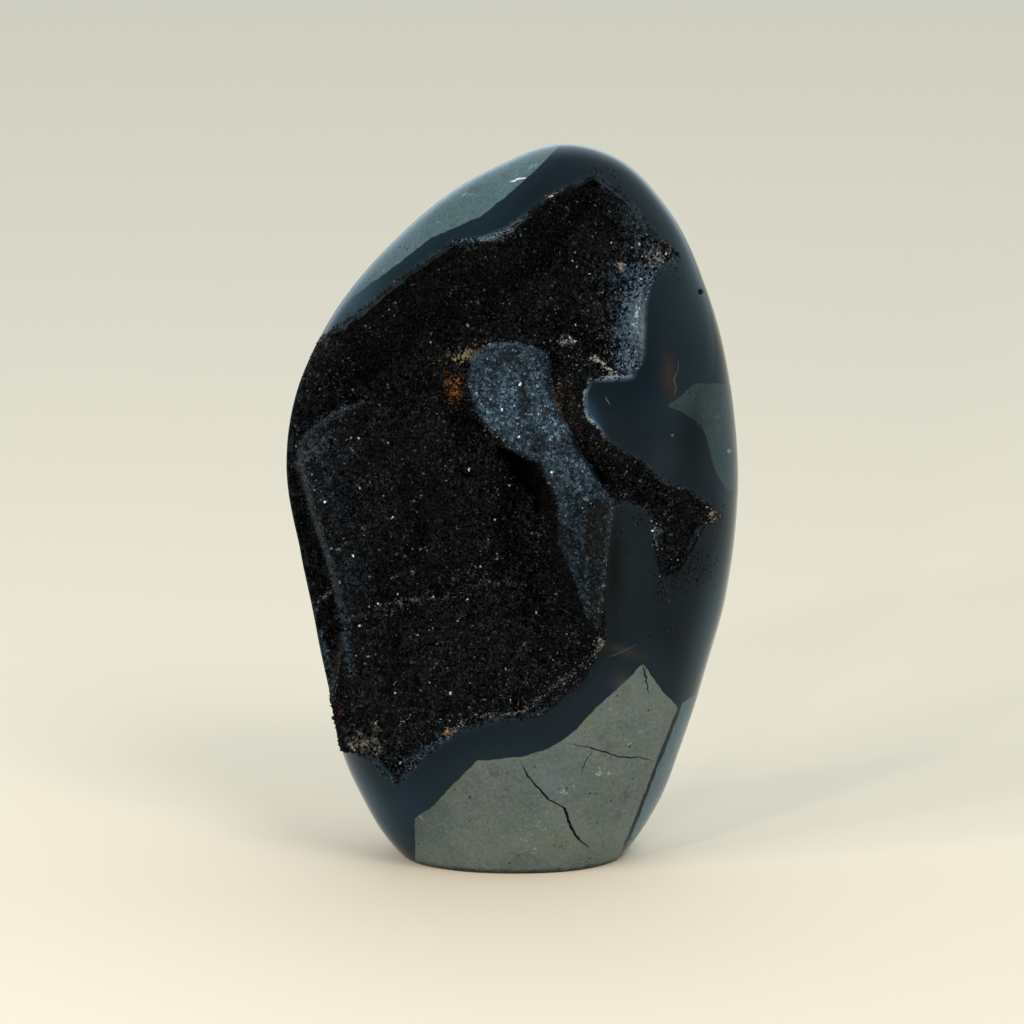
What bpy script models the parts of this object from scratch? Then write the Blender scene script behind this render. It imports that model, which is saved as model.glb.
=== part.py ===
"""Septarian nodule: a black freeform stone, polished outside, with a crystal-lined hollow in its front.

Metres, +Z up, front towards -Y, origin under the middle of the stone's box at the level it stands on.
The stone is drawn in millimetres in its own leaning frame, as seen square-on from slightly above:
x to the right, rise up the face, depth away from the viewer. place() turns that into world metres.
"""

import math
import random

import bmesh
import bpy
import numpy as np
from mathutils import Matrix, Vector, noise
from mathutils.geometry import delaunay_2d_cdt

# Driving dimensions, millimetres unless the name says otherwise
TILT_DEG = 12.0  # how far above the horizon the face is seen from
LEAN = 0.19  # how much of that tilt the stone's own axis takes back, depth per rise
CENTRE = (0.0, 88.0)  # middle of the face, x and rise
FRONT_DEPTH = 36.0  # from the widest section to the front
BACK_DEPTH = 34.0
FRONT_FULLNESS = 2.5  # over 2 is flatter and squarer than an ellipse
BACK_FULLNESS = 2.3
CORNER_TURN = -0.85  # direction of the squarer lower right corner, radians
CORNER_FULLNESS = 0.9  # how much squarer it is
CORNER_SPREAD = 0.5  # how far the squareness spreads, radians
BODY_SEGMENTS = 56
BODY_RINGS = 18
GAP = 0.3  # between the stone and its crust
CRUST_THICK = 2.0
CRYSTAL_PITCH = 4.0  # spacing of the crystals on the crust
CRYSTAL_RISE = 1.25  # height of a crystal over its base
NET_STRAY = 0.9  # how far the crystals' corners stray from an even grid
TIP_STRAY = 0.45  # how far their tips stray from the middle
LUMPS = ((1.1, 13, 3.1), (0.6, 6, 8.4))  # uneven growth: height, width, and where it is read in the noise
RIM_STEP = 1.2  # the crust starts this far under the polished edge
WALL_SLOPE = 2.0  # depth gained per millimetre inside the rim
SHIFT_BACK = -1.2  # puts the middle of the stone's box over the origin
EDGE_MARGIN = 0.7  # the crust stops this far inside the silhouette on the left
OPEN_FRONT = -90.0  # the hollow is cut from this far in front
SEED = 7

# Outline of the whole stone, clockwise from the top
SILHOUETTE = [
    (14, 176), (26, 172.5), (38.5, 160), (48, 140.5), (54, 117), (56, 91), (53, 64), (47.5, 44), (42, 27),
    (36, 12), (26, -2), (10, -13), (-8, -13), (-22, -5), (-32, 5), (-37.5, 14.5), (-42, 24.5), (-44.5, 36),
    (-48.5, 55), (-52.5, 75), (-56, 97), (-54, 113), (-46.5, 130.5), (-29, 152.5), (-5, 170),
]
# Edge of the hollow, clockwise from the upper left; the left side runs out past the stone
RIM = [
    (-52, 124), (-46.5, 128.5), (-36, 135.5), (-26, 143.5), (-14, 151.5), (-6.5, 152), (-1, 154), (8.5, 162),
    (20.5, 168), (29.5, 161), (33, 155.5), (40.5, 148), (34, 142), (32, 136), (31.5, 123), (29, 118.5),
    (19, 118), (17, 114), (18, 109), (23.5, 102.5), (33, 97), (37.5, 92.5), (43.5, 91), (49.5, 86),
    (45, 78.5), (41.5, 72), (37.5, 70), (35, 79), (34, 85.5), (28, 88.5), (24.5, 87.5), (23, 76), (22, 66.5),
    (22.5, 54), (17.5, 45), (7, 36), (-4, 34.5), (-13, 32), (-21, 26), (-28.5, 18.5), (-38.5, 26.5),
    (-50, 27), (-58, 55), (-64, 95), (-62, 118),
]
# The frosted fin that stands up from the hollow's floor
FIN = [
    (-10, 121.5), (-11, 118), (-8, 109), (-1, 101.5), (7, 97.5), (11.5, 88), (11.5, 78), (15, 70), (18, 61),
    (21, 56), (23, 66), (24.5, 88), (20.5, 95.5), (13.5, 107), (9, 116.5), (9, 123.5), (-1, 127),
]
# The large block on the left; low down it runs out past the stone
BLOCK = [
    (-36, 113), (-45, 109), (-52, 103), (-53, 98), (-50.5, 90), (-48, 82), (-45, 72), (-42, 61.5), (-39.5, 54),
    (-38.5, 38), (-42, 22), (-20, 8), (30, 20), (26, 60), (12, 80), (3, 97), (-8, 107), (-22, 111),
]
# Below this line the block steps forward in a ledge
LEDGE = [
    (-42, 55), (-30, 60), (-21, 63.5), (-14, 63.5), (-10, 66.5), (-3, 66.5), (8, 64.5), (18, 62), (30, 55),
    (24, 30), (0, 16), (-30, 8), (-48, 24),
]
# The narrow gap between the block and the fin
CREVICE = [
    (-3, 101.5), (3.5, 100.5), (8, 97.5), (11, 92), (12.5, 86), (12, 76), (15, 69.5), (18.5, 61), (21.5, 54),
    (20, 54), (16, 60), (12.5, 67), (9.5, 74), (8.5, 83), (6, 89), (2, 94),
]
# The chip beside the notch and the pocket right of the fin
POCKET = [
    (17, 103), (24, 104), (34, 100), (45, 94), (54, 88), (46, 70), (34, 64), (31, 76), (26, 90), (22, 94),
]

# Spot depths of each form: x, rise, depth from the widest section (negative is nearer)
CHAMBER_SPOTS = [
    (-50, 120, 1), (-42, 124, -1), (-30, 120, 2), (-12, 130, 1), (-25, 136, -4), (-8, 142, -3), (8, 148, -5),
    (22, 156, -9), (34, 150, -18), (26, 138, -11), (30, 128, -19), (14, 128, -4), (13, 112, -8),
    (20, 112, -19), (-54, 100, 1), (-51, 80, 1), (-46, 60, 2), (-41, 44, -2), (-42, 30, -6),
]
BLOCK_SPOTS = [
    (-36, 110, -12), (-50, 101, -14), (-20, 106, -8), (-8, 101, -6), (-47, 84, -15), (-30, 88, -11),
    (-12, 90, -6), (2, 89, -3), (5, 79, -2), (-41, 66, -14), (-24, 72, -7), (-8, 73, -4), (8, 68, -3),
]
LEDGE_SPOTS = [
    (-37, 50, -17), (-22, 58, -12), (-6, 62, -10), (10, 60, -9), (-34, 32, -18), (-14, 47, -14), (2, 50, -13),
    (16, 52, -17), (-10, 38, -20), (8, 42, -21), (-27, 24, -19),
]
CREVICE_SPOTS = [(6, 95, 7), (10, 84, 9), (12, 72, 4), (18, 59, -4)]
FIN_SPOTS = [
    (-8, 116, -16), (4, 122, -18), (3, 106, -21), (12, 98, -24), (14, 86, -24), (21, 92, -28), (18, 80, -26),
    (19, 66, -28), (21, 58, -29),
]
POCKET_SPOTS = [
    (22, 98, -23), (30, 93, -24), (36, 90, -26), (41, 86, -26.5), (47, 85, -21.5), (41, 76, -26), (39, 71, -26.5),
]
# In the order that each stands out of, or is sunk in, those before it, with how sharp its edge is
FORMS = [
    (BLOCK, BLOCK_SPOTS, 1.2), (LEDGE, LEDGE_SPOTS, 1.0), (POCKET, POCKET_SPOTS, 1.5),
    (CREVICE, CREVICE_SPOTS, 0.9), (FIN, FIN_SPOTS, 1.0),
]


def smoothstep(low, high, value):
    t = np.clip((value - low) / (high - low), 0.0, 1.0)
    return t * t * (3 - 2 * t)


def signed_distance(points, outline):
    """Distance of each point to a closed outline, positive inside it."""
    points = np.asarray(points, float)
    a = np.asarray(outline, float)
    b = np.roll(a, -1, axis=0)
    nearest = np.full(len(points), np.inf)
    inside = np.zeros(len(points), bool)
    for (ax, ay), (bx, by) in zip(a, b):
        edge = np.array((bx - ax, by - ay))
        rel = points - (ax, ay)
        along = np.clip(rel @ edge / (edge @ edge), 0.0, 1.0)
        nearest = np.minimum(nearest, np.hypot(*(rel - along[:, None] * edge).T))
        crosses = (ay > points[:, 1]) != (by > points[:, 1])
        with np.errstate(divide="ignore", invalid="ignore"):
            at = ax + (points[:, 1] - ay) / (by - ay) * (bx - ax)
        inside ^= crosses & (points[:, 0] < at)
    return np.where(inside, nearest, -nearest)


def spot_surface(points, spots, soften=5.0, power=3.2):
    """A smooth surface through a few spot depths, each ruling the ground nearest to it."""
    spots = np.asarray(spots, float)
    away = np.hypot(points[:, :1] - spots[:, 0], points[:, 1:2] - spots[:, 1])
    weight = (away**2 + soften**2) ** (-power / 2)
    return (weight * spots[:, 2]).sum(axis=1) / weight.sum(axis=1)


def outline_radius():
    """The silhouette as a smooth closed curve: radius from the centre at any angle."""
    rel = np.asarray(SILHOUETTE, float) - CENTRE
    angle = np.arctan2(rel[:, 1], rel[:, 0])
    order = np.argsort(angle)
    angle, radius = angle[order], np.hypot(*rel[order].T)
    angle = np.concatenate([angle[-2:] - 2 * math.pi, angle, angle[:3] + 2 * math.pi])
    radius = np.concatenate([radius[-2:], radius, radius[:3]])
    slope = np.gradient(radius, angle)

    def at(turn):
        turn = (np.asarray(turn) + math.pi) % (2 * math.pi) - math.pi
        i = np.clip(np.searchsorted(angle, turn) - 1, 0, len(angle) - 2)
        span = angle[i + 1] - angle[i]
        t = (turn - angle[i]) / span
        return (
            (2 * t**3 - 3 * t**2 + 1) * radius[i]
            + (t**3 - 2 * t**2 + t) * span * slope[i]
            + (3 * t**2 - 2 * t**3) * radius[i + 1]
            + (t**3 - t**2) * span * slope[i + 1]
        )

    return at


RADIUS_AT = outline_radius()


def skin_depth(share, reach, fullness):
    """Depth of the outside where the face is at this share of its radius."""
    return reach * np.clip(1 - np.clip(share, 0, 1) ** fullness, 0, 1) ** (1 / fullness)


def front_fullness(turn):
    """The front is squarer at the lower right, where the stone was ground to a side plane."""
    return FRONT_FULLNESS + CORNER_FULLNESS * np.exp(-(((turn - CORNER_TURN) / CORNER_SPREAD) ** 2))


def front_depth(points):
    """Depth of the polished front over each point of the face."""
    rel = points - np.asarray(CENTRE)
    turn = np.arctan2(rel[:, 1], rel[:, 0])
    share = np.hypot(*rel.T) / RADIUS_AT(turn)
    return -skin_depth(share, FRONT_DEPTH, front_fullness(turn))


def lumps(points, width, layer):
    """Rounded unevenness of natural crystal growth, between about -1 and 1."""
    return np.array([2 * noise.noise(Vector((x / width, rise / width, layer))) for x, rise in points])


def druse_depth(points):
    """Depth of the crystal-lined ground inside the rim."""
    points = np.asarray(points, float)
    ground = spot_surface(points, CHAMBER_SPOTS)
    for outline, spots, edge in FORMS:
        inside = smoothstep(-edge, edge, signed_distance(points, outline))
        ground = ground * (1 - inside) + spot_surface(points, spots) * inside
    for height, width, layer in LUMPS:
        ground = ground + height * lumps(points, width, layer)
    inset = np.clip(signed_distance(points, RIM), 0, None)
    wall = front_depth(points) + RIM_STEP + WALL_SLOPE * inset
    return np.minimum(ground, wall)


def place(mesh):
    """Stands a bmesh up: from the leaning frame (x, depth, rise in mm) to world metres."""
    lean = Matrix.Identity(4)
    lean[1][2] = -LEAN
    tip = Matrix.Rotation(-math.radians(TILT_DEG), 4, "X")
    mesh.transform(Matrix.Scale(0.001, 4) @ Matrix.Translation((0, SHIFT_BACK, 0)) @ tip @ lean)


def resampled(outline, step):
    """The closed outline with its points a step apart."""
    a = np.asarray(outline, float)
    b = np.roll(a, -1, axis=0)
    points = []
    for start, end in zip(a, b):
        count = max(1, round(float(np.hypot(*(end - start))) / step))
        points += [start + (end - start) * i / count for i in range(count)]
    return np.array(points)


def inset(loop, amount):
    """Moves each point of a clockwise loop inwards, square to its neighbours' line."""
    along = np.roll(loop, -1, axis=0) - np.roll(loop, 1, axis=0)
    along /= np.hypot(*along.T)[:, None]
    return loop + amount * np.stack([along[:, 1], -along[:, 0]], axis=1)


def held_inside(loop, margin):
    """Pulls points that lie outside the stone's silhouette back to this far inside it."""
    rel = loop - np.asarray(CENTRE)
    turn = np.arctan2(rel[:, 1], rel[:, 0])
    away = np.hypot(*rel.T)
    reach = np.minimum(away, RADIUS_AT(turn) - margin)
    return np.asarray(CENTRE) + rel * (reach / away)[:, None]


def apart(points, others, least):
    """The points that keep at least this far from all the others."""
    away = np.hypot(points[:, :1] - others[:, 0], points[:, 1:] - others[:, 1]).min(axis=1)
    return points[away > least]


def form_lines(border):
    """Points in pairs along each form's edge, one at its head and one at its foot, so that it stays crisp."""
    kept = np.empty((0, 2))
    for outline, _, edge in reversed(FORMS):
        loop = resampled(outline, 0.9 * CRYSTAL_PITCH)
        pairs = np.concatenate([inset(loop, edge), inset(loop, -edge)])
        pairs = pairs[signed_distance(pairs, border) > 0.5 * CRYSTAL_PITCH]
        if len(kept):
            pairs = apart(pairs, kept, 0.45 * CRYSTAL_PITCH)
        kept = np.concatenate([kept, pairs])
    return kept


def crystal_net():
    """One net of triangles over the hollow: its points, its triangles, and the hollow's own wider border."""
    wide = resampled(RIM, CRYSTAL_PITCH)
    border = held_inside(inset(wide, GAP), EDGE_MARGIN)
    feet = form_lines(border)
    chance = random.Random(SEED)
    row_step = CRYSTAL_PITCH * math.sqrt(3) / 2
    low, high = border.min(axis=0), border.max(axis=0)
    grid = []
    for row in range(int((high[1] - low[1]) / row_step) + 1):
        for col in range(int((high[0] - low[0]) / CRYSTAL_PITCH) + 1):
            x = low[0] + (col + 0.5 * (row % 2)) * CRYSTAL_PITCH
            rise = low[1] + row * row_step
            grid.append([at + chance.uniform(-NET_STRAY, NET_STRAY) for at in (x, rise)])
    grid = np.array(grid)
    grid = grid[signed_distance(grid, border) > 0.6 * CRYSTAL_PITCH]
    grid = apart(grid, feet, 0.6 * CRYSTAL_PITCH)
    flat = np.concatenate([border, feet, grid])
    loop = [list(range(len(border)))]
    points, _, faces, origins, _, _ = delaunay_2d_cdt([Vector(p) for p in flat], [], loop, 1, 1e-4)
    assert [o[0] for o in origins] == list(range(len(flat)))
    return np.array([tuple(p) for p in points]), faces, wide


def sheet(points, depth, faces):
    """A bmesh of one sheet of triangles."""
    mesh = bmesh.new()
    verts = [mesh.verts.new((x, d, rise)) for (x, rise), d in zip(points, depth)]
    for face in faces:
        mesh.faces.new([verts[i] for i in face])
    return mesh, verts


def close_sheet(mesh, verts, new_depth):
    """Extrudes the sheet to a closed body whose other side lies at new_depth; returns the new faces."""
    grown = bmesh.ops.extrude_face_region(mesh, geom=mesh.faces[:], use_keep_orig=True)["geom"]
    new_verts = [g for g in grown if isinstance(g, bmesh.types.BMVert)]
    depth_of = {(v.co.x, v.co.z): d for v, d in zip(verts, new_depth)}
    for v in new_verts:
        v.co.y = depth_of[(v.co.x, v.co.z)]
    bmesh.ops.recalc_face_normals(mesh, faces=mesh.faces[:])
    return [g for g in grown if isinstance(g, bmesh.types.BMFace)]


def body_mesh():
    """The whole stone before its hollow: a sphere drawn out to the silhouette and the two depths."""
    mesh = bmesh.new()
    bmesh.ops.create_uvsphere(mesh, u_segments=BODY_SEGMENTS, v_segments=BODY_RINGS, radius=1.0)
    for vert in mesh.verts:
        across, up, towards = vert.co
        share, turn = min(1.0, math.hypot(across, up)), math.atan2(up, across)
        radius = share * float(RADIUS_AT(turn))
        if towards < 0:
            depth = -skin_depth(share, FRONT_DEPTH, float(front_fullness(turn)))
        else:
            depth = skin_depth(share, BACK_DEPTH, BACK_FULLNESS)
        vert.co = (CENTRE[0] + radius * math.cos(turn), depth, CENTRE[1] + radius * math.sin(turn))
    bmesh.ops.recalc_face_normals(mesh, faces=mesh.faces[:])
    return mesh


def to_object(name, mesh, collection, material=None):
    data = bpy.data.meshes.new(name)
    mesh.to_mesh(data)
    mesh.free()
    obj = bpy.data.objects.new(name, data)
    collection.objects.link(obj)
    if material:
        data.materials.append(material)
    return obj


def finish(name, colour, roughness, coat=0.0):
    material = bpy.data.materials.new(name)
    material.use_nodes = True
    shader = material.node_tree.nodes["Principled BSDF"]
    shader.inputs["Base Color"].default_value = (*colour, 1)
    shader.inputs["Roughness"].default_value = roughness
    shader.inputs["Coat Weight"].default_value = coat
    return material


def helper(obj):
    obj.hide_render = True
    obj.display_type = "WIRE"
    return obj


def cut(obj, cutter):
    modifier = obj.modifiers.new(f"cut by {cutter.name}", "BOOLEAN")
    modifier.operation = "DIFFERENCE"
    modifier.solver = "EXACT"
    modifier.object = cutter


def make_stone(collection, cutters, net):
    """The nodule: ground flat to stand on, with the natural hollow open at its front and left."""
    points, faces, wide = net
    mesh = body_mesh()
    place(mesh)
    stone = to_object("stone", mesh, collection, finish("polished stone", (0.018, 0.024, 0.028), 0.12, 0.5))
    stone.data.shade_smooth()
    stone.data.set_sharp_from_angle(angle=math.radians(35))

    ground = bmesh.new()
    bmesh.ops.create_cube(ground, size=0.2, matrix=Matrix.Translation((0, 0, -0.1)))
    cut(stone, helper(to_object("ground_plane_cutter", ground, cutters)))

    floor = druse_depth(points) + CRUST_THICK + GAP
    count, first = len(wide), len(points)
    skirt = [(i, first + i, first + (i + 1) % count, (i + 1) % count) for i in range(count)]
    floor = np.concatenate([floor, floor[:count]])
    hollow, verts = sheet(np.concatenate([points, wide]), floor, list(faces) + skirt)
    close_sheet(hollow, verts, [OPEN_FRONT] * len(verts))
    place(hollow)
    cut(stone, helper(to_object("hollow_cutter", hollow, cutters)))
    return stone


def make_crust(collection, net):
    """The druse: one fused crust of three-sided crystals over every form inside the hollow."""
    points, faces, _ = net
    ground = druse_depth(points)
    mesh, verts = sheet(points, ground + CRUST_THICK, faces)
    front = close_sheet(mesh, verts, ground)
    tips = bmesh.ops.poke(mesh, faces=front, offset=CRYSTAL_RISE, center_mode="MEAN")["verts"]
    chance = random.Random(SEED + 1)
    for tip in tips:
        tip.co += Vector(chance.uniform(-TIP_STRAY, TIP_STRAY) for _ in range(3))
    place(mesh)
    return to_object("crystal_crust", mesh, collection, finish("black druse", (0.006, 0.007, 0.008), 0.25))


def main():
    for obj in list(bpy.data.objects):
        bpy.data.objects.remove(obj, do_unlink=True)
    collection = bpy.data.collections.new("septarian nodule")
    cutters = bpy.data.collections.new("cutters")
    for made in (collection, cutters):
        bpy.context.scene.collection.children.link(made)
    net = crystal_net()
    make_stone(collection, cutters, net)
    make_crust(collection, net)


main()
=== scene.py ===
"""Looks of the septarian nodule: polished stone, druse and crystals, on a plain pale floor.

The stone is drawn in millimetres in its own leaning frame, as seen square-on from slightly above: x to the
right, rise up the face, depth away from the viewer. placed() turns that into the solids' world metres.
"""

import math
from functools import partial

import bpy
import numpy as np
from bpy.props import FloatProperty, FloatVectorProperty, IntProperty, PointerProperty
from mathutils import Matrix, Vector, noise


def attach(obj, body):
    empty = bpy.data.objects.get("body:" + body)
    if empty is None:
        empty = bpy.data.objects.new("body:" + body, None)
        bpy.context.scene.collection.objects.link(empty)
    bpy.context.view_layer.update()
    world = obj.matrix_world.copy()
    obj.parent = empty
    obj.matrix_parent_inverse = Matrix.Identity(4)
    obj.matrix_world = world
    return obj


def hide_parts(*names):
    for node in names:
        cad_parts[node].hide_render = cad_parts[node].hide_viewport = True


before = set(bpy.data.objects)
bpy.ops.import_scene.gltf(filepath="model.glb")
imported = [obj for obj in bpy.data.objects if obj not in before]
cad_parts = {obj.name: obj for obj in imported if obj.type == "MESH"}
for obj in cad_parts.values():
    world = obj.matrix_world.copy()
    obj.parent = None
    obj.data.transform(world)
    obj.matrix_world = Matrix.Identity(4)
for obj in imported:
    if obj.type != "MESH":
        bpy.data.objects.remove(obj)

bl_info = {
    "name": "Septarian Nodule",
    "version": (1, 0, 0),
    "blender": (4, 5, 0),
    "location": "View3D > Sidebar > Nodule",
    "description": "Builds the visible surfaces of a polished septarian nodule with a druse-lined hollow",
    "category": "Object",
}

# The leaning frame, as in the part's source
TILT = math.radians(12)
LEAN = 0.19
SHIFT_BACK = -1.2
CENTRE = np.array((0.0, 88.0))
FRONT_DEPTH, FRONT_FULLNESS = 36.0, 2.5
BACK_DEPTH, BACK_FULLNESS = 34.0, 2.3
CORNER_TURN, CORNER_FULLNESS, CORNER_SPREAD = -0.85, 0.9, 0.5
LUMPS = ((1.1, 13, 3.1), (0.6, 6, 8.4))  # uneven growth: height, width, and where it is read in the noise
RIM_STEP, RIM_SOFTNESS, WALL_SLOPE = 1.2, (-0.4, 0.5), 2.0

# The photograph's scale, and the height up the face that its middle shows
MM_PER_PIXEL = 0.24658
PICTURE_SIDE = 1024
MIDDLE_RISE = 85.6

# Outline of the whole stone, clockwise from the top
SILHOUETTE = [
    (14, 176), (26, 172.5), (38.5, 160), (48, 140.5), (54, 117), (56, 91), (53, 64), (47.5, 44), (42, 27),
    (36, 12), (26, -2), (10, -13), (-8, -13), (-22, -5), (-32, 5), (-37.5, 14.5), (-42, 24.5), (-44.5, 36),
    (-48.5, 55), (-52.5, 75), (-56, 97), (-54, 113), (-46.5, 130.5), (-29, 152.5), (-5, 170),
]
# Edge of the hollow, clockwise from the upper left; the left side runs out past the stone
RIM = [
    (-52, 124), (-46.5, 128.5), (-36, 135.5), (-26, 143.5), (-14, 151.5), (-6.5, 152), (-1, 154), (8.5, 162),
    (20.5, 168), (29.5, 161), (33, 155.5), (40.5, 148), (34, 142), (32, 136), (31.5, 123), (29, 118.5),
    (19, 118), (17, 114), (18, 109), (23.5, 102.5), (33, 97), (37.5, 92.5), (43.5, 91), (49.5, 86),
    (45, 78.5), (41.5, 72), (37.5, 70), (35, 79), (34, 85.5), (28, 88.5), (24.5, 87.5), (23, 76), (22, 66.5),
    (22.5, 54), (17.5, 45), (7, 36), (-4, 34.5), (-13, 32), (-21, 26), (-28.5, 18.5), (-38.5, 26.5),
    (-50, 27), (-58, 55), (-64, 95), (-62, 118),
]
FIN = [
    (-10, 121.5), (-11, 118), (-8, 109), (-1, 101.5), (7, 97.5), (11.5, 88), (11.5, 78), (15, 70), (18, 61),
    (21, 56), (23, 66), (24.5, 88), (20.5, 95.5), (13.5, 107), (9, 116.5), (9, 123.5), (-1, 127),
]
BLOCK = [
    (-36, 113), (-45, 109), (-52, 103), (-53, 98), (-50.5, 90), (-48, 82), (-45, 72), (-42, 61.5),
    (-39.5, 54), (-38.5, 38), (-42, 22), (-20, 8), (30, 20), (26, 60), (12, 80), (3, 97), (-8, 107),
    (-22, 111),
]
LEDGE = [
    (-42, 55), (-30, 60), (-21, 63.5), (-14, 63.5), (-10, 66.5), (-3, 66.5), (8, 64.5), (18, 62), (30, 55),
    (24, 30), (0, 16), (-30, 8), (-48, 24),
]
CREVICE = [
    (-3, 101.5), (3.5, 100.5), (8, 97.5), (11, 92), (12.5, 86), (12, 76), (15, 69.5), (18.5, 61), (21.5, 54),
    (20, 54), (16, 60), (12.5, 67), (9.5, 74), (8.5, 83), (6, 89), (2, 94),
]
POCKET = [
    (17, 103), (24, 104), (34, 100), (45, 94), (54, 88), (46, 70), (34, 64), (31, 76), (26, 90), (22, 94),
]

# Spot depths of each form: x, rise, depth from the widest section (negative is nearer)
CHAMBER_SPOTS = [
    (-50, 120, 1), (-42, 124, -1), (-30, 120, 2), (-12, 130, 1), (-25, 136, -4), (-8, 142, -3), (8, 148, -5),
    (22, 156, -9), (34, 150, -18), (26, 138, -11), (30, 128, -19), (14, 128, -4), (13, 112, -8),
    (20, 112, -19), (-54, 100, 1), (-51, 80, 1), (-46, 60, 2), (-41, 44, -2), (-42, 30, -6),
]
BLOCK_SPOTS = [
    (-36, 110, -12), (-50, 101, -14), (-20, 106, -8), (-8, 101, -6), (-47, 84, -15), (-30, 88, -11),
    (-12, 90, -6), (2, 89, -3), (5, 79, -2), (-41, 66, -14), (-24, 72, -7), (-8, 73, -4), (8, 68, -3),
]
LEDGE_SPOTS = [
    (-37, 50, -17), (-22, 58, -12), (-6, 62, -10), (10, 60, -9), (-34, 32, -18), (-14, 47, -14),
    (2, 50, -13), (16, 52, -17), (-10, 38, -20), (8, 42, -21), (-27, 24, -19),
]
CREVICE_SPOTS = [(6, 95, 7), (10, 84, 9), (12, 72, 4), (18, 59, -4)]
FIN_SPOTS = [
    (-8, 116, -16), (4, 122, -18), (3, 106, -21), (12, 98, -24), (14, 86, -24), (21, 92, -28), (18, 80, -26),
    (19, 66, -28), (21, 58, -29),
]
POCKET_SPOTS = [
    (22, 98, -23), (30, 93, -24), (36, 90, -26), (41, 86, -26.5), (47, 85, -21.5), (41, 76, -26),
    (39, 71, -26.5),
]
# In the order that each stands out of, or is sunk in, those before it, with how sharp its edge is
FORMS = [
    (BLOCK, BLOCK_SPOTS, 1.2), (LEDGE, LEDGE_SPOTS, 1), (POCKET, POCKET_SPOTS, 1.5),
    (CREVICE, CREVICE_SPOTS, 0.9), (FIN, FIN_SPOTS, 1),
]

# Patches of bare matrix on the polished front, each with how it shades the mudstone's red, green and blue,
# the lower right side plane's blue partly a painted sheen; where they leave the face they wrap round the
# edge
MATRIX_PATCHES = [
    ((1, 1, 1), [
        (-24.2, -20), (-24, 10), (-19.5, 13), (-16, 17), (-12, 21), (-8.5, 24.5), (-3, 25), (2.5, 25.5),
        (7.5, 27), (12.5, 29.5), (16, 32.5), (20.5, 37.5), (25, 41.5), (29, 45), (32, 48.5), (34.5, 45),
        (37.5, 41), (41, 37.5), (35, 22), (30, 8.5), (26, -2), (20, -20),
    ]),
    ((0.74, 0.98, 1.17), [
        (-60, 134), (-44, 134.5), (-31.5, 143.6), (-25, 148.4), (-19.5, 152.6), (-13, 155.2), (-7.6, 157.6),
        (-1, 162.8), (5.8, 168.8), (11, 174.5), (14, 190), (-60, 190),
    ]),
    ((0.3, 0.385, 0.437), [
        (37.5, 111.5), (41, 113.5), (44.5, 117), (75, 117), (75, 85), (57.5, 88.5), (52.5, 91.5), (49.7, 96),
        (48.5, 100.6), (47, 105.3), (44.5, 108), (41, 110.2),
    ]),
    # The lower right side plane, bluer: partly a painted sheen
    ((0.7, 0.97, 1.24), [
        (42.3, 38.5), (37.4, 25.5), (35.8, 21.8), (30.9, 8.2), (26.9, -2.4), (21, -20), (75, -20), (75, 44),
        (51.5, 43.5),
    ]),
]


def smoothstep(low, high, value):
    """0 at low and 1 at high, with a soft start and end between them."""
    t = np.clip((value - low) / (high - low), 0.0, 1.0)
    return t * t * (3 - 2 * t)


def line_distance(points, line):
    """Distance of each point to an open line."""
    nearest = np.full(len(points), np.inf)
    for start, end in zip(line, line[1:]):
        edge = np.subtract(end, start)
        rel = points - start
        along = np.clip(rel @ edge / (edge @ edge), 0.0, 1.0)
        nearest = np.minimum(nearest, np.hypot(*(rel - along[:, None] * edge).T))
    return nearest


def signed_distance(points, outline):
    """Distance of each point to a closed outline, positive inside it."""
    closed = [*outline, outline[0]]
    inside = np.zeros(len(points), bool)
    for (ax, ay), (bx, by) in zip(closed, closed[1:]):
        crosses = (ay > points[:, 1]) != (by > points[:, 1])
        with np.errstate(divide="ignore", invalid="ignore"):
            at = ax + (points[:, 1] - ay) / (by - ay) * (bx - ax)
        inside ^= crosses & (points[:, 0] < at)
    nearest = line_distance(points, closed)
    return np.where(inside, nearest, -nearest)


def spot_surface(points, spots, soften=5.0, power=3.2):
    """A smooth surface through a few spot depths, each ruling the ground nearest to it."""
    spots = np.asarray(spots, float)
    away = np.hypot(points[:, :1] - spots[:, 0], points[:, 1:2] - spots[:, 1])
    weight = (away**2 + soften**2) ** (-power / 2)
    return (weight * spots[:, 2]).sum(axis=1) / weight.sum(axis=1)


def outline_radius():
    """The silhouette as a smooth closed curve: radius from the centre at any angle."""
    rel = np.asarray(SILHOUETTE, float) - CENTRE
    angle = np.arctan2(rel[:, 1], rel[:, 0])
    order = np.argsort(angle)
    angle, radius = angle[order], np.hypot(*rel[order].T)
    angle = np.concatenate([angle[-2:] - 2 * math.pi, angle, angle[:3] + 2 * math.pi])
    radius = np.concatenate([radius[-2:], radius, radius[:3]])
    slope = np.gradient(radius, angle)

    def at(turn):
        turn = (np.asarray(turn) + math.pi) % (2 * math.pi) - math.pi
        i = np.clip(np.searchsorted(angle, turn) - 1, 0, len(angle) - 2)
        span = angle[i + 1] - angle[i]
        t = (turn - angle[i]) / span
        return (
            (2 * t**3 - 3 * t**2 + 1) * radius[i]
            + (t**3 - 2 * t**2 + t) * span * slope[i]
            + (3 * t**2 - 2 * t**3) * radius[i + 1]
            + (t**3 - t**2) * span * slope[i + 1]
        )

    return at


RADIUS_AT = outline_radius()


def skin_depth(share, reach, fullness):
    """Depth of the outside where the face is at this share of its radius."""
    return reach * np.clip(1 - np.clip(share, 0, 1) ** fullness, 0, 1) ** (1 / fullness)


def front_fullness(turn):
    """The front is squarer at the lower right, where the stone was ground to a side plane."""
    return FRONT_FULLNESS + CORNER_FULLNESS * np.exp(-(((turn - CORNER_TURN) / CORNER_SPREAD) ** 2))


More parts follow.
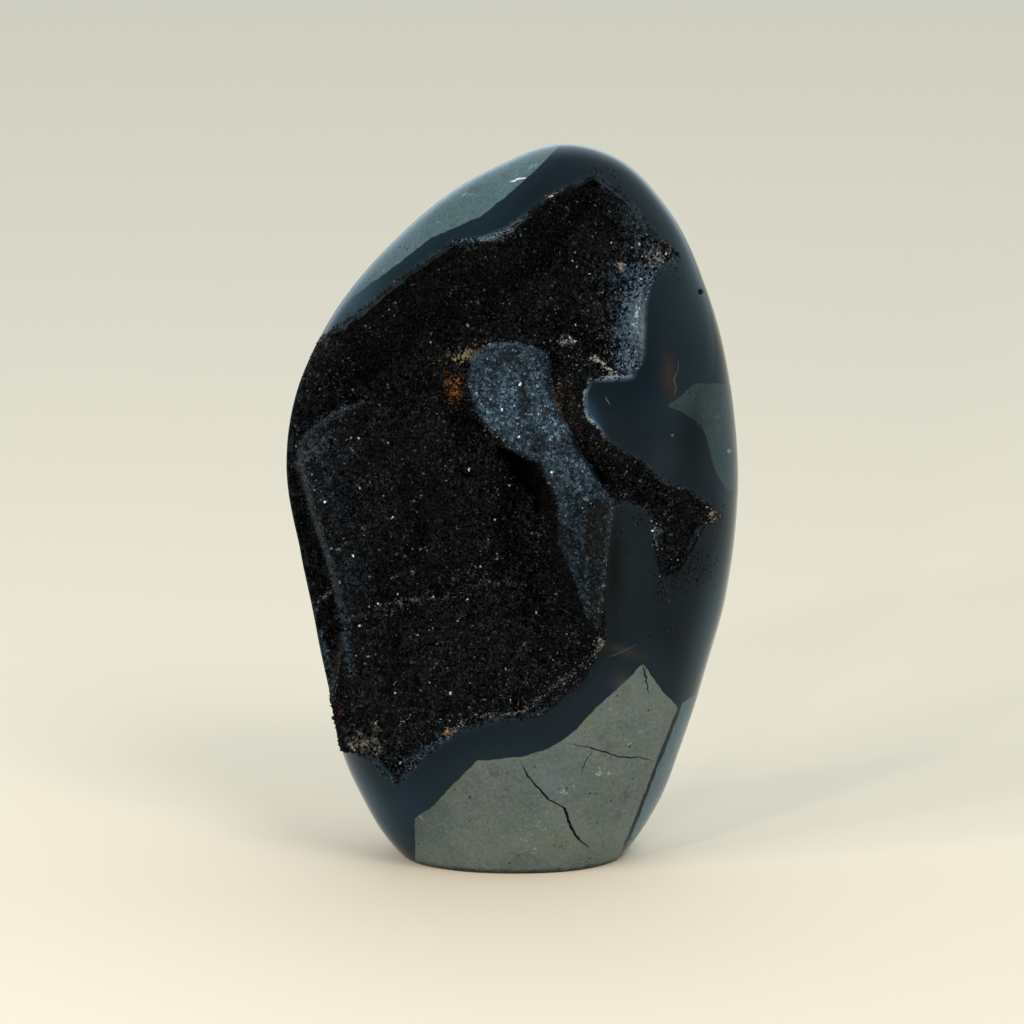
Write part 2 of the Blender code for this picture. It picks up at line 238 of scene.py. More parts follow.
def polar(points):
    """Angle round the face's middle, and the share of the silhouette's radius, of each point of the face."""
    rel = points - CENTRE
    turn = np.arctan2(rel[:, 1], rel[:, 0])
    return turn, np.hypot(*rel.T) / RADIUS_AT(turn)


def front_depth(points):
    """Depth of the polished front over each point of the face."""
    turn, share = polar(points)
    return -skin_depth(share, FRONT_DEPTH, front_fullness(turn))


def lumps(points, width, layer):
    """Rounded unevenness of natural growth, between about -1 and 1."""
    return np.array([2 * noise.noise(Vector((x / width, rise / width, layer))) for x, rise in points])


def druse_depth(points, growth=LUMPS):
    """Depth of the crystal-lined ground inside the rim."""
    ground = spot_surface(points, CHAMBER_SPOTS)
    for outline, spots, edge in FORMS:
        inside = smoothstep(-edge, edge, signed_distance(points, outline))
        ground = ground * (1 - inside) + spot_surface(points, spots) * inside
    for height, width, layer in growth:
        ground = ground + height * lumps(points, width, layer)
    inset = np.clip(signed_distance(points, RIM), 0, None)
    wall = front_depth(points) + RIM_STEP * smoothstep(*RIM_SOFTNESS, inset) + WALL_SLOPE * inset
    return np.minimum(ground, wall)


def placed(points):
    """World metres of points given as x, depth and rise in the leaning frame."""
    x, depth, rise = np.asarray(points, float).T
    depth = depth - LEAN * rise
    return 0.001 * np.stack([
        x,
        depth * math.cos(TILT) + rise * math.sin(TILT) + SHIFT_BACK,
        -depth * math.sin(TILT) + rise * math.cos(TILT),
    ], axis=1)


def leaning(points):
    """The leaning frame's x, depth and rise of points given in world metres."""
    x, y, z = 1000 * np.asarray(points, float).T
    y = y - SHIFT_BACK
    depth = y * math.cos(TILT) - z * math.sin(TILT)
    rise = y * math.sin(TILT) + z * math.cos(TILT)
    return np.stack([x, depth + LEAN * rise, rise], axis=1)


def linear(code):
    """A hex sRGB colour as linear red, green and blue."""
    srgb = [int(code[i : i + 2], 16) / 255 for i in (1, 3, 5)]
    return tuple(c / 12.92 if c <= 0.04045 else ((c + 0.055) / 1.055) ** 2.4 for c in srgb)


def spot_weight(face, x, rise, wide, high, degrees):
    """How strongly a soft elliptical spot acts at each point of the face."""
    turn = math.radians(degrees)
    rel = face - (x, rise)
    across = (rel[:, 0] * math.cos(turn) + rel[:, 1] * math.sin(turn)) / wide
    up = (rel[:, 1] * math.cos(turn) - rel[:, 0] * math.sin(turn)) / high
    return np.exp(-(across**2 + up**2))


# Triangle meshes held as arrays


def face_normals(points, faces):
    """Twice each face's area, square to it."""
    a, b, c = (points[faces[:, i]] for i in range(3))
    return np.cross(b - a, c - a)


def unit(vectors):
    return vectors / np.maximum(np.linalg.norm(vectors, axis=-1, keepdims=True), 1e-12)


def point_normals(points, faces):
    total = np.zeros_like(points)
    for i in range(3):
        np.add.at(total, faces[:, i], face_normals(points, faces))
    return unit(total)


def trimmed(points, faces, field):
    """The part of a mesh where the field is over zero, cut at its zero line, and the edges of that cut."""
    kept = field > 0
    count = kept[faces].sum(axis=1)
    odd = np.where(count == 1, kept[faces].argmax(axis=1), (~kept[faces]).argmax(axis=1))
    cut = (count == 1) | (count == 2)
    rows, turn = faces[cut], odd[cut]
    a, b, c = (rows[np.arange(len(rows)), (turn + i) % 3] for i in range(3))
    pairs = np.sort(np.concatenate([np.stack([a, b], 1), np.stack([a, c], 1)]), axis=1)
    edges, which = np.unique(pairs, axis=0, return_inverse=True)
    which = which.ravel() + len(points)
    ab, ac = which[: len(a)], which[len(a) :]
    low, high = field[edges[:, 0]], field[edges[:, 1]]
    t = (low / (low - high))[:, None]
    grown = np.concatenate([points, points[edges[:, 0]] * (1 - t) + points[edges[:, 1]] * t])
    one = count[cut] == 1
    made = np.concatenate([
        faces[count == 3],
        np.stack([a, ab, ac], 1)[one],
        np.stack([ab, b, c], 1)[~one],
        np.stack([ab, c, ac], 1)[~one],
    ])
    border = np.concatenate([np.stack([ac, ab], 1)[one], np.stack([ab, ac], 1)[~one]])
    used, packed = np.unique(made, return_inverse=True)
    index = np.full(len(grown), -1)
    index[used] = np.arange(len(used))
    return grown[used], packed.reshape(made.shape), index[border]


def with_lip(points, faces, border, steps):
    """Carries a mesh on past its border in rings, each given as how far out and how far down it lies."""
    normal = point_normals(points, faces)
    along = unit(points[border[:, 1]] - points[border[:, 0]])
    outward = np.zeros_like(points)
    for i in range(2):
        np.add.at(outward, border[:, i], np.cross(normal[border[:, i]], along))
    rim = np.unique(border)
    outward = unit(outward)
    last = np.full(len(points), -1)
    last[rim] = rim
    rings, made = [points], [faces]
    for ring, (out, down) in enumerate(steps):
        place = len(points) + ring * len(rim) + np.arange(len(rim))
        now = last.copy()
        now[rim] = place
        rings.append(points[rim] + out * outward[rim] - down * normal[rim])
        a, b = last[border[:, 0]], last[border[:, 1]]
        c, d = now[border[:, 1]], now[border[:, 0]]
        made += [np.stack([a, b, c], 1), np.stack([a, c, d], 1)]
        last = now
    return np.concatenate(rings), np.concatenate(made), last[border]


def mesh_object(name, points, faces, material, smooth, layers=()):
    """A mesh object from arrays in world metres, with its value layers as point attributes."""
    mesh = bpy.data.meshes.new(name)
    mesh.vertices.add(len(points))
    mesh.vertices.foreach_set("co", np.asarray(points, np.float32).ravel())
    mesh.loops.add(faces.size)
    mesh.loops.foreach_set("vertex_index", faces.astype(np.int32).ravel())
    mesh.polygons.add(len(faces))
    mesh.polygons.foreach_set("loop_start", np.arange(0, faces.size, 3, dtype=np.int32))
    mesh.update(calc_edges=True)
    mesh.validate()
    for layer, values in layers:
        if values.ndim == 1:
            mesh.attributes.new(layer, "FLOAT", "POINT").data.foreach_set("value", values.astype(np.float32))
        else:
            colours = mesh.attributes.new(layer, "FLOAT_COLOR", "POINT").data
            colours.foreach_set("color", values.astype(np.float32).ravel())
    mesh.materials.append(material)
    mesh.polygons.foreach_set("use_smooth", [smooth] * len(mesh.polygons))
    piece = bpy.data.objects.new(name, mesh)
    bpy.context.scene.collection.objects.link(piece)
    return piece


# The polished stone

SKIN_TURNS, SKIN_RINGS = 400, 190
RAGGED = ((0.35, 2.6, 21.3), (0.2, 1.1, 33.7))  # the broken edge, given as LUMPS are
SKIN_LIP = ((0.06, 0.02), (0.14, 0.09), (0.2, 0.3), (0.24, 1.5))  # the polish's edge in steps: out, down
FOOT_BEVEL = 0.5
SKIN_OVER_DRUSE = 0.35  # on the left the polish ends this far behind the druse


def skin_net():
    """The whole skin without its hollow: an even net of triangles round the stone, in the leaning frame."""
    polar_angle = math.pi * (np.arange(SKIN_RINGS) + 0.5) / SKIN_RINGS
    turn = 2 * math.pi * np.arange(SKIN_TURNS) / SKIN_TURNS
    polar_angle, turn = (g.ravel() for g in np.meshgrid(polar_angle, turn, indexing="ij"))
    share = np.sin(polar_angle)
    radius = share * RADIUS_AT(turn)
    depth = np.where(
        polar_angle < math.pi / 2,
        -skin_depth(share, FRONT_DEPTH, front_fullness(turn)),
        skin_depth(share, BACK_DEPTH, BACK_FULLNESS),
    )
    points = np.stack([CENTRE[0] + radius * np.cos(turn), depth, CENTRE[1] + radius * np.sin(turn)], axis=1)
    i, j = (g.ravel() for g in np.meshgrid(np.arange(SKIN_RINGS - 1), np.arange(SKIN_TURNS), indexing="ij"))
    a, b = i * SKIN_TURNS + j, i * SKIN_TURNS + (j + 1) % SKIN_TURNS
    c, d = b + SKIN_TURNS, a + SKIN_TURNS
    poles = np.array([(CENTRE[0], -FRONT_DEPTH, CENTRE[1]), (CENTRE[0], BACK_DEPTH, CENTRE[1])])
    front, back = len(points), len(points) + 1
    ring = np.arange(SKIN_TURNS)
    after = (ring + 1) % SKIN_TURNS
    last = (SKIN_RINGS - 1) * SKIN_TURNS
    faces = np.concatenate([
        np.stack([a, c, b], 1), np.stack([a, d, c], 1),
        np.stack([np.full(SKIN_TURNS, front), ring, after], 1),
        np.stack([np.full(SKIN_TURNS, back), last + after, last + ring], 1),
    ])
    return np.concatenate([points, poles]), faces


def make_polished_stone(material):
    """The nodule's ground and polished skin, open at the hollow, with a bevelled flat foot."""
    points, faces = skin_net()
    face = points[:, [0, 2]]
    ragged = sum(height * lumps(face, width, layer) for height, width, layer in RAGGED)
    beside = ragged - signed_distance(face, RIM)
    behind = points[:, 1] - druse_depth(face) - SKIN_OVER_DRUSE
    points, faces, border = trimmed(placed(points) * 1000, faces, np.maximum(beside, behind))
    points, faces, _ = with_lip(points, faces, border, SKIN_LIP)
    points, faces, border = trimmed(points, faces, points[:, 2] - FOOT_BEVEL)
    points, faces = with_foot(points, faces, border)
    lean = leaning(points / 1000)
    return mesh_object("polished_stone", points / 1000, faces, material, True, stone_layers(lean))


def with_foot(points, faces, border):
    """Bevels the skin's lower border down to the ground and closes it with a flat foot."""
    rim = np.unique(border)
    middle = points[rim].mean(axis=0) * (1, 1, 0)
    inward = unit((middle - points[rim]) * (1, 1, 0))
    foot = (points[rim] + FOOT_BEVEL * inward) * (1, 1, 0)
    index = np.full(len(points), -1)
    index[rim] = len(points) + np.arange(len(rim))
    a, b = border.T
    centre = len(points) + len(rim)
    made = np.concatenate([
        faces, np.stack([a, b, index[b]], 1), np.stack([a, index[b], index[a]], 1),
        np.stack([index[a], index[b], np.full(len(a), centre)], 1),
    ])
    return np.concatenate([points, foot, middle[None]]), made


# Soft patches of colour in the polish: real stains, and painted light: sheen and reflections along the
# right, lower left and upper left edges, a glow at the notch, and shadows right of the fin and below the
# lower rim.
# Each is x, rise, half width, half height, turned by degrees, colour, strength
SKIN_TINTS_AND_PAINTED_LIGHT = [
    (19.6, 109.4, 1.3, 4.6, 25, "#223f5a", 0.5),
    (38.3, 118.6, 1.8, 5.2, 6, "#36281f", 0.7),
    (27.6, 51.6, 4.6, 1.1, -20, "#332f2b", 0.6),
    (43.8, 103.3, 3.2, 8, 0, "#070a0d", 0.7),
    (37, 98.5, 4, 6, 0, "#1e2a32", 0.5),
    (-28, 11, 7, 10, 0, "#152c38", 0.65),
    (-37.8, 15.5, 3.4, 12, 27, "#1c3c50", 1.1),
    (42.5, 136, 8, 24, 10, "#1c292d", 0.7),
    (50.5, 58, 4.2, 22, -14, "#35525f", 0.62),
    (-40, 138, 7, 6, 40, "#2b3f4a", 0.6),
    (54, 98, 3, 22, 4, "#2c444f", 0.5),
    (47.5, 145, 3.5, 14, 22, "#2a3f48", 0.5),
    (27.3, 42.2, 2, 3.2, 20, "#6d6455", 0.2),
    (10.5, 3, 7, 3, 0, "#6a6c58", 0.35),
    (10, 18.7, 4, 3, 0, "#697880", 0.35),
    (-12, 29, 14, 3, 30, "#0a1826", 0.5),
    (24.8, 73, 2.2, 13, 0, "#020303", 0.9),
    (31, 70, 4, 12, 0, "#101d24", 0.5),
    (28, 41.4, 1.3, 2, 0, "#4a3f33", 0.3),
    (7, 165, 9, 3, 40, "#0e1418", 0.6),
]
# Places along the rim where its thin edge shows frosted blue-white, partly a real frosted break and partly
# a painted glow of light through the thin calcite: x, rise, reach, strength
RIM_FROST_AND_GLOW = [
    (24, 118.7, 5, 0.6), (18.6, 107, 3.5, 1), (17.5, 114, 4, 0.6), (-3, 153, 6, 0.35), (32, 130, 8, 0.3),
]
EVEN_FROST_AND_GLOW = 0.04
# Where white flecks crowd in the matrix: x, rise, half width, half height, turned by degrees, how many
FLECKS = [
    (21.6, 21.9, 3.4, 1.6, -15, 1), (13.2, 17.3, 2.6, 2, 0, 0.9), (-10.5, 15.3, 2.2, 1.1, 0, 0.8),
    (-23, 10.8, 1.6, 2.6, 0, 1), (4.1, 3.5, 3.2, 4, 30, 0.8), (-3.8, 22, 4, 1, 0, 0.6),
    (24.8, 42.9, 2, 2, 0, 0.6), (8, 9, 7, 5, 0, 0.4), (30, 30, 5, 8, 0, 0.3),
    (4.6, 169.8, 6.5, 1.1, 25, 1), (-10.5, 163, 2, 1, 20, 0.9), (-18.4, 156, 2.6, 0.9, 15, 0.9),
    (51, 108, 3, 6, 0, 0.6),
]
# Painted light and shade on the matrix, darker to the left and lighter to the right and low down, which
# evens out how the lamps fall on it: across and up the face, from, to, its start, and by how much it changes
PAINTED_SHADE_ACROSS, PAINTED_SHADE_UP = (-16, 36, 0.75, 0.26), (2, 18, 1.12, -0.2)
FRONT_ENDS = 24  # the front's shades and tints fade out by this far behind the widest section
BEYOND_RIM = 10.0  # distance from the rim that stands for all of the back


def stone_layers(lean):
    """What the stone's material reads at each point of the skin, given in the leaning frame."""
    face, depth = lean[:, [0, 2]], lean[:, 1]
    in_front = (depth < 0).astype(float)
    inside = np.array([signed_distance(face, outline) for _, outline in MATRIX_PATCHES])
    shade = np.array([shade for shade, _ in MATRIX_PATCHES])[inside.argmax(axis=0)]
    # Painted light and shade: darker to the left, lighter to the right and low down
    for axis, (low, high, start, change) in enumerate((PAINTED_SHADE_ACROSS, PAINTED_SHADE_UP)):
        shade = shade * (start + change * smoothstep(low, high, face[:, axis, None]))
    shade = shade + (1 - shade) * smoothstep(1, FRONT_ENDS, depth)[:, None]
    tint_and_light = np.zeros((len(face), 4))
    # Real stains and painted sheen, reflections and shadows, laid over the polish's colour
    for *spot, code, strength in SKIN_TINTS_AND_PAINTED_LIGHT:
        weight = strength * spot_weight(face, *spot) * smoothstep(FRONT_ENDS, 0, depth)
        tint_and_light[:, :3] += weight[:, None] * linear(code)
        tint_and_light[:, 3] += weight
    tint_and_light[:, :3] /= np.maximum(tint_and_light[:, 3:], 1e-6)
    tint_and_light[:, 3] = np.clip(tint_and_light[:, 3], 0, 1)
    # The frosted rim, partly a real break and partly a painted glow of light through the thin calcite
    frost = np.full(len(face), EVEN_FROST_AND_GLOW)
    for x, rise, reach, strength in RIM_FROST_AND_GLOW:
        frost = np.maximum(frost, strength * np.exp(-(np.hypot(*(face - (x, rise)).T) / reach) ** 2))
    flecks = np.max([many * spot_weight(face, *spot) for *spot, many in FLECKS], axis=0)
    return [
        ("patch", inside.max(axis=0)), ("depth", depth), ("tint_and_light", tint_and_light),
        ("rim", np.where(in_front > 0, -signed_distance(face, RIM), BEYOND_RIM)),
        ("frost", frost * in_front), ("flecks", flecks * in_front),
        ("shade", np.concatenate([shade, np.ones((len(face), 1))], axis=1)),
    ]


# The druse

GROUND_LOW, GROUND_HIGH = np.array((-60.0, 10.0)), np.array((54.0, 172.0))  # corners of the net
GROUND_PITCH, GROUND_STRAY, GROUND_SEED = 0.75, 0.22, 11
GROUND_UNDER_LIP = 0.35  # the ground runs on this far under the polished edge
SILHOUETTE_MARGIN = 0.35
FINE_LUMPS = LUMPS + ((0.35, 2.4, 14.2), (0.2, 1.2, 17.9))


def druse_net():
    """The druse's ground as a net of triangles over the face, ending under the rim and at the silhouette."""
    chance = np.random.default_rng(GROUND_SEED)
    step = np.array((GROUND_PITCH, GROUND_PITCH * math.sqrt(3) / 2))
    columns, rows = ((GROUND_HIGH - GROUND_LOW) / step).astype(int)
    row, column = np.meshgrid(np.arange(rows), np.arange(columns), indexing="ij")
    points = GROUND_LOW + np.stack([column + 0.5 * (row % 2), row], axis=-1).reshape(-1, 2) * step
    points = points + chance.uniform(-GROUND_STRAY, GROUND_STRAY, (rows * columns, 2)) * GROUND_PITCH
    i, j = (g.ravel() for g in np.meshgrid(np.arange(rows - 1), np.arange(columns - 1), indexing="ij"))
    a, b = i * columns + j, i * columns + j + 1
    c, d = a + columns, b + columns
    even = (i % 2 == 0)[:, None]
    faces = np.concatenate([
        np.where(even, np.stack([a, b, c], 1), np.stack([a, b, d], 1)),
        np.where(even, np.stack([b, d, c], 1), np.stack([a, d, c], 1)),
    ])
    turn, share = polar(points)
    to_side = (1 - share) * RADIUS_AT(turn) - SILHOUETTE_MARGIN
    inside = np.minimum(signed_distance(points, RIM) + GROUND_UNDER_LIP, to_side)
    points, faces, _ = trimmed(points, faces, inside)
    return points, faces


# Where the druse isn't black: real stains and pale crystals, and painted light on the block's lit left facet
# and ridge and on the lit, glowing wall at the upper right: x, rise, half width, half height, turned by
# degrees, colour, share of crystals
DRUSE_TINTS_AND_LIGHT = [
    # Painted light: the block's left facet and ridge, lit from the left
    (-43.5, 93, 5.5, 12, 12, "#2b3844", 0.36),
    (-39.5, 71, 4.5, 13, 14, "#27333d", 0.34),
    (-49, 101, 4, 2.2, 40, "#46545e", 0.6),
    (-46.7, 51, 0.9, 9.5, 14, "#41586a", 0.6),
    (-46.2, 64.6, 2.2, 0.7, 40, "#8b8f8f", 0.7),
    (-42.8, 36.5, 0.9, 0.9, 0, "#4f3020", 0.6),
    (29, 157, 3.4, 7, 35, "#3a4a57", 0.5),
    (30.5, 151, 4, 3, 0, "#3c4d5a", 0.5),
    (29, 144.5, 7, 2, 5, "#4a6076", 0.6),
    # Painted light: the wall at the upper right, lit and glowing, with a painted highlight
    (30.8, 133, 3.3, 8.4, -8, "#6f879b", 1.25),
    (26.5, 131, 3, 8, -8, "#586e80", 0.5),
    (30.9, 133.5, 1, 3.4, -8, "#d3e0ec", 0.7),
    (28.5, 122, 2.2, 3.5, 0, "#7c93a8", 0.8),
    (26.5, 146, 1.6, 1, 0, "#c9bfae", 0.6),
    (36, 148, 3.2, 3.2, 0, "#8591a0", 0.45),
    (35.2, 147.2, 1.6, 1.4, 0, "#c9c2b2", 0.45),
    (37.6, 150, 1.6, 2, 0, "#4f3c30", 0.45),
    (-15, 117, 1.8, 3.2, 10, "#74461c", 0.75),
    (-13.8, 116, 1, 2.6, 10, "#b07a36", 0.5),
    (-11.6, 124.2, 2.8, 1.6, 15, "#b3a27c", 0.85),
    (10.8, 112.8, 1, 2.6, 25, "#6b4a26", 0.55),
    (12.5, 116, 2, 2.4, 0, "#4f4330", 0.35),
    (13.5, 127.5, 1.8, 0.8, 0, "#b9b6ad", 0.6),
    (-36, 28.4, 2.7, 1.5, -40, "#8b7d66", 0.6),
    (-34, 31.5, 0.9, 3.2, 0, "#6f6656", 0.4),
    (-39.2, 27.8, 1.2, 0.8, -40, "#a79e92", 0.6),
    (-20.5, 27.5, 6.5, 1, 40, "#566776", 0.55),
    (20.5, 63, 2, 9, 8, "#0d1013", 0.3),
    (-15.4, 31.2, 1.2, 0.8, 20, "#a8835c", 0.8),
    (22, 53.5, 1.4, 1.2, 0, "#cfc4b4", 0.7),
    (9, 162.5, 1.1, 1.2, 0, "#d5ccb2", 0.9),
    (-33, 24.5, 7, 5, -35, "#3f4d54", 0.3),
    (-7.5, 152, 6, 1.1, 8, "#6c859c", 0.7),
    (49.2, 84.5, 1.4, 2.2, 0, "#a99f8e", 0.45),
    (35.5, 80, 1.2, 5, -15, "#737a80", 0.45),
    (-30, 61.5, 9, 0.6, 12, "#4a4f50", 0.3),
]
# Lines of paler crystals: real pale crystals along the lower rim, and painted highlights along the block's
# ridge, the ledge's crest and the fin's edges: half width, colour, share of crystals, and points
DRUSE_LINES_AND_HIGHLIGHTS = [
    # Painted highlight along the block's ridge
    (0.9, "#3f4d59", 0.75, [
        (-52, 100), (-50.5, 92), (-49.4, 85.6), (-45.2, 73.2), (-43, 64.5), (-41.5, 56.5), (-39.3, 46),
    ]),
    (0.8, "#4c5963", 0.6, [(-51.5, 103.5), (-47, 108), (-44.5, 109), (-41.5, 111), (-37, 112.3)]),
    (0.5, "#6f7470", 0.35, [(-33.5, 62.5), (-20.4, 64.2), (-13.8, 64.6)]),
    (0.7, "#5c605e", 0.4, [(-9.2, 67.3), (-3.5, 68), (3, 67.5)]),
    (0.6, "#d5cdbb", 0.75, [(19.8, 123.4), (22.6, 121), (25.2, 119)]),
    (0.5, "#7d7465", 0.3, [(-0.8, 37.3), (6, 39), (13, 44.5), (20, 50.5), (22.8, 53.6)]),
    (0.5, "#968f82", 0.4, [(-15.4, 31.5), (-9, 35.5), (-1, 35.8), (5, 37.3)]),
    (0.5, "#8d8474", 0.5, [(-40.5, 29.5), (-37.5, 28.7), (-33, 24.5)]),
    (0.4, "#5d6870", 0.45, [(24.3, 88.5), (23.8, 82.4), (23, 75.8), (22.2, 68), (21.2, 60)]),
    (0.5, "#6d7d88", 0.5, [(-10.3, 123.4), (-6, 126.6), (-1, 127), (5, 126.3), (8.5, 123.9), (9.5, 120.8)]),
]
# Painted glints: single crystals given a pale colour and a dull face where a glint shows, x and rise
PAINTED_GLINTS = [
    (14.3, 128.6), (15.7, 127.5), (14.1, 123.6), (-33.4, 63), (-19.6, 64.4), (-15.2, 40.7), (-29, 40.9),
    (-13.9, 150.9), (-37.9, 104), (-46.1, 88), (-37.4, 91.5), (-39.3, 74.6), (-35.5, 62), (-37.4, 57.5),
    (-41.2, 56.7), (-10.6, 96), (-4.5, 83.4), (9.9, 95.1), (21.6, 96.7), (5.9, 60.5), (-29.6, 84.6),
    (-5.6, 113.4), (-2.6, 110.7), (24.2, 151.6), (31.3, 151.2), (26.6, 146.5), (37.5, 148.6), (31.6, 142.5),
    (20.3, 160.9), (6.4, 109.5), (1.7, 104), (30.1, 80.2), (33.3, 83.5), (36.6, 76.5), (2.3, 116.8),
]
PAINTED_GLINT, PAINTED_GLINT_SIZE, PAINTED_GLINT_HEIGHT = "#c3c9cf", (0.3, 0.65), 0.8
# Of all crystals, the share painted as a pale glint, and how many times that it is on the fin's head
RANDOM_GLINT_SHARE, HEAD_TIMES = 0.0018, 3
FIN_HEAD, HEAD_LEAST = (0, 112, 9, 12, 0), 0.4
RANDOM_GLINT, RANDOM_GLINT_SHADES, RANDOM_GLINT_SIZE = "#e6ecf2", (0.08, 0.5), (0.2, 0.5)
BUMP = (-44.6, 36.4, 1.6, 1.6, 0)  # crystals a millimetre taller, which stand out of the silhouette
# What a crystal's colour is picked from and how often, on the black druse, the fin and its shaded strip
BLACKS = {"#020203": 0.58, "#08090a": 0.27, "#121315": 0.11, "#282c30": 0.035, "#666d74": 0.005}
FROSTED = {"#141e26": 0.32, "#263743": 0.35, "#435a6a": 0.2, "#6a8190": 0.05, "#302c26": 0.08}
SHADED = {"#07090b": 0.42, "#14181b": 0.36, "#282725": 0.17, "#3c464d": 0.05}
CLUMPS = ((0.8, 5, 61.7), (0.5, 1.7, 77.1))  # how far the shade wanders, given as LUMPS are
CLUMP_LEAST, CLUMP_MOST = 0.2, 2.4
FIN_DARKENS = (108, 72, 0.62)  # from this rise down to that one, the fin loses this share of its colour
TINT_SHADES = (0.15, 0.75)  # how bright tinted crystals are, as a share of the tint
FULL_TINT_SHADES = (0.38, 0.55)  # the same where every crystal is tinted
FULLY_DULL, TINTED_DULL, LEAST_DULL = 1.0, 0.8, 0.5  # 0 is a clean facet; over the last it counts as frosted
FROST_SOFTNESS, SHADOW_SOFTNESS = (-0.5, 0.7), (-0.6, 0.6)
SHADED_STRIP = [
    (18.6, 89.5), (24.6, 88.5), (24, 82.4), (23.2, 75.8), (22.5, 68), (21.6, 57), (20.3, 57), (19.1, 68.8),
    (17.6, 78.4),
]
# The fin's frosted face, a little fuller than its form round the head
FROSTED_FACE = FIN[:14] + [
    (9.8, 116.5), (9.8, 122), (7.5, 125.5), (1.5, 127.4), (-4.5, 127.6), (-8.8, 125.8), (-10.8, 122.5),
]
# Parts that lie in shadow, with the share of their colour that they keep
DARK_PARTS = [
    (CREVICE, 0.15),
    ([
        (-60, 112), (-53, 98), (-50.5, 90), (-48, 82), (-45, 72), (-42, 61.5), (-40, 50), (-42, 40),
        (-44, 40), (-60, 70),
    ], 0.25),
]


def picked_from(palette, chance, count):
    """Colours drawn from a palette by how often each comes."""
    colours = np.array([linear(code) for code in palette])
    return colours[chance.choice(len(palette), count, p=list(palette.values()))]


def tones(face, chance):
    """A colour for each crystal of the druse by where on the face it grew, and how dull it is."""
    count = len(face)
    clump = 1 + sum(reach * lumps(face, width, layer) for reach, width, layer in CLUMPS)
    clump = np.clip(clump, CLUMP_LEAST, CLUMP_MOST)[:, None]
    colour = picked_from(BLACKS, chance, count) * clump
    dull = np.zeros(count)
    high, low, lost = FIN_DARKENS
    low_down = 1 - lost * smoothstep(high, low, face[:, 1])[:, None]
    frost = [
        (FROSTED_FACE, picked_from(FROSTED, chance, count) * low_down * np.sqrt(clump)),
        (SHADED_STRIP, picked_from(SHADED, chance, count)),
    ]
    for outline, pale in frost:
        on_it = chance.random(count) < smoothstep(*FROST_SOFTNESS, signed_distance(face, outline))
        colour = np.where(on_it[:, None], pale, colour)
        dull[on_it] = FULLY_DULL
    # Real tints and painted light, as single spots and along lines
    tints_and_light = [(share * spot_weight(face, *spot), code, share) for *spot, code, share in DRUSE_TINTS_AND_LIGHT]
    for half_width, code, share, line in DRUSE_LINES_AND_HIGHLIGHTS:
        tints_and_light.append((share * np.exp(-((line_distance(face, line) / half_width) ** 2)), code, share))
    for odds, code, share in tints_and_light:
        picked = chance.random(count) < odds
        shade = chance.uniform(*(TINT_SHADES if share < 1 else FULL_TINT_SHADES), (count, 1))
        colour = np.where(picked[:, None], shade * np.array(linear(code)), colour)
        dull[picked] = TINTED_DULL
    for outline, kept in DARK_PARTS:
        inside = smoothstep(*SHADOW_SOFTNESS, signed_distance(face, outline))
        lit = (signed_distance(face, FIN) > 0) | (dull > LEAST_DULL)
        colour = colour * np.where(lit, 1.0, 1 - (1 - kept) * inside)[:, None]
    return np.concatenate([colour, np.ones((count, 1))], axis=1), dull


CRYSTAL_SIDES = 5
CRYSTAL_LEAN, CORNER_STRAY, TIP_STRAY = 0.33, 0.28, 0.12  # how irregularly crystals stand and are formed
CRYSTAL_ROOT = 0.35  # share of its height that a crystal has in the ground


def crystal_arrays(foot, normal, size, height, chance):
    """Small pointed crystals as arrays: each a leaning pyramid of five sides, standing on its foot point."""
    count = len(foot)
    lean = unit(normal + chance.normal(0, CRYSTAL_LEAN, (count, 3)))
    side = unit(np.cross(lean, chance.normal(0, 1, (count, 3))))
    other = np.cross(lean, side)
    stray = chance.uniform(-CORNER_STRAY, CORNER_STRAY, (count, CRYSTAL_SIDES))
    angle = 2 * math.pi * (np.arange(CRYSTAL_SIDES) + stray) / CRYSTAL_SIDES
    across, up = np.cos(angle)[..., None], np.sin(angle)[..., None]
    ring = foot[:, None] + size[:, None, None] * (across * side[:, None] + up * other[:, None])
    ring = ring - CRYSTAL_ROOT * (height[:, None] * lean)[:, None]
    tip = foot + (1 - CRYSTAL_ROOT) * height[:, None] * lean
    tip = tip + chance.normal(0, TIP_STRAY, (count, 3)) * size[:, None]
    points = np.concatenate([ring, tip[:, None]], axis=1)
    start = (CRYSTAL_SIDES + 1) * np.arange(count)[:, None, None]
    now = np.arange(CRYSTAL_SIDES)
    faces = np.stack([now, (now + 1) % CRYSTAL_SIDES, np.full_like(now, CRYSTAL_SIDES)], axis=-1)
    return points.reshape(-1, 3), (start + faces).reshape(-1, 3)


def scattered(points, faces, cell, chance):
    """Random places on a mesh, one to about each cell of this area, with the ground's normal there."""
    normal = face_normals(points, faces)
    area = np.linalg.norm(normal, axis=1) / 2
    count = np.floor(area / cell + chance.random(len(faces))).astype(int)
    row = np.repeat(np.arange(len(faces)), count)
    u, v = chance.random((2, len(row)))
    flip = u + v > 1
    u, v = np.where(flip, 1 - u, u)[:, None], np.where(flip, 1 - v, v)[:, None]
    a, b, c = (points[faces[row, i]] for i in range(3))
    return a + u * (b - a) + v * (c - a), unit(normal[row])


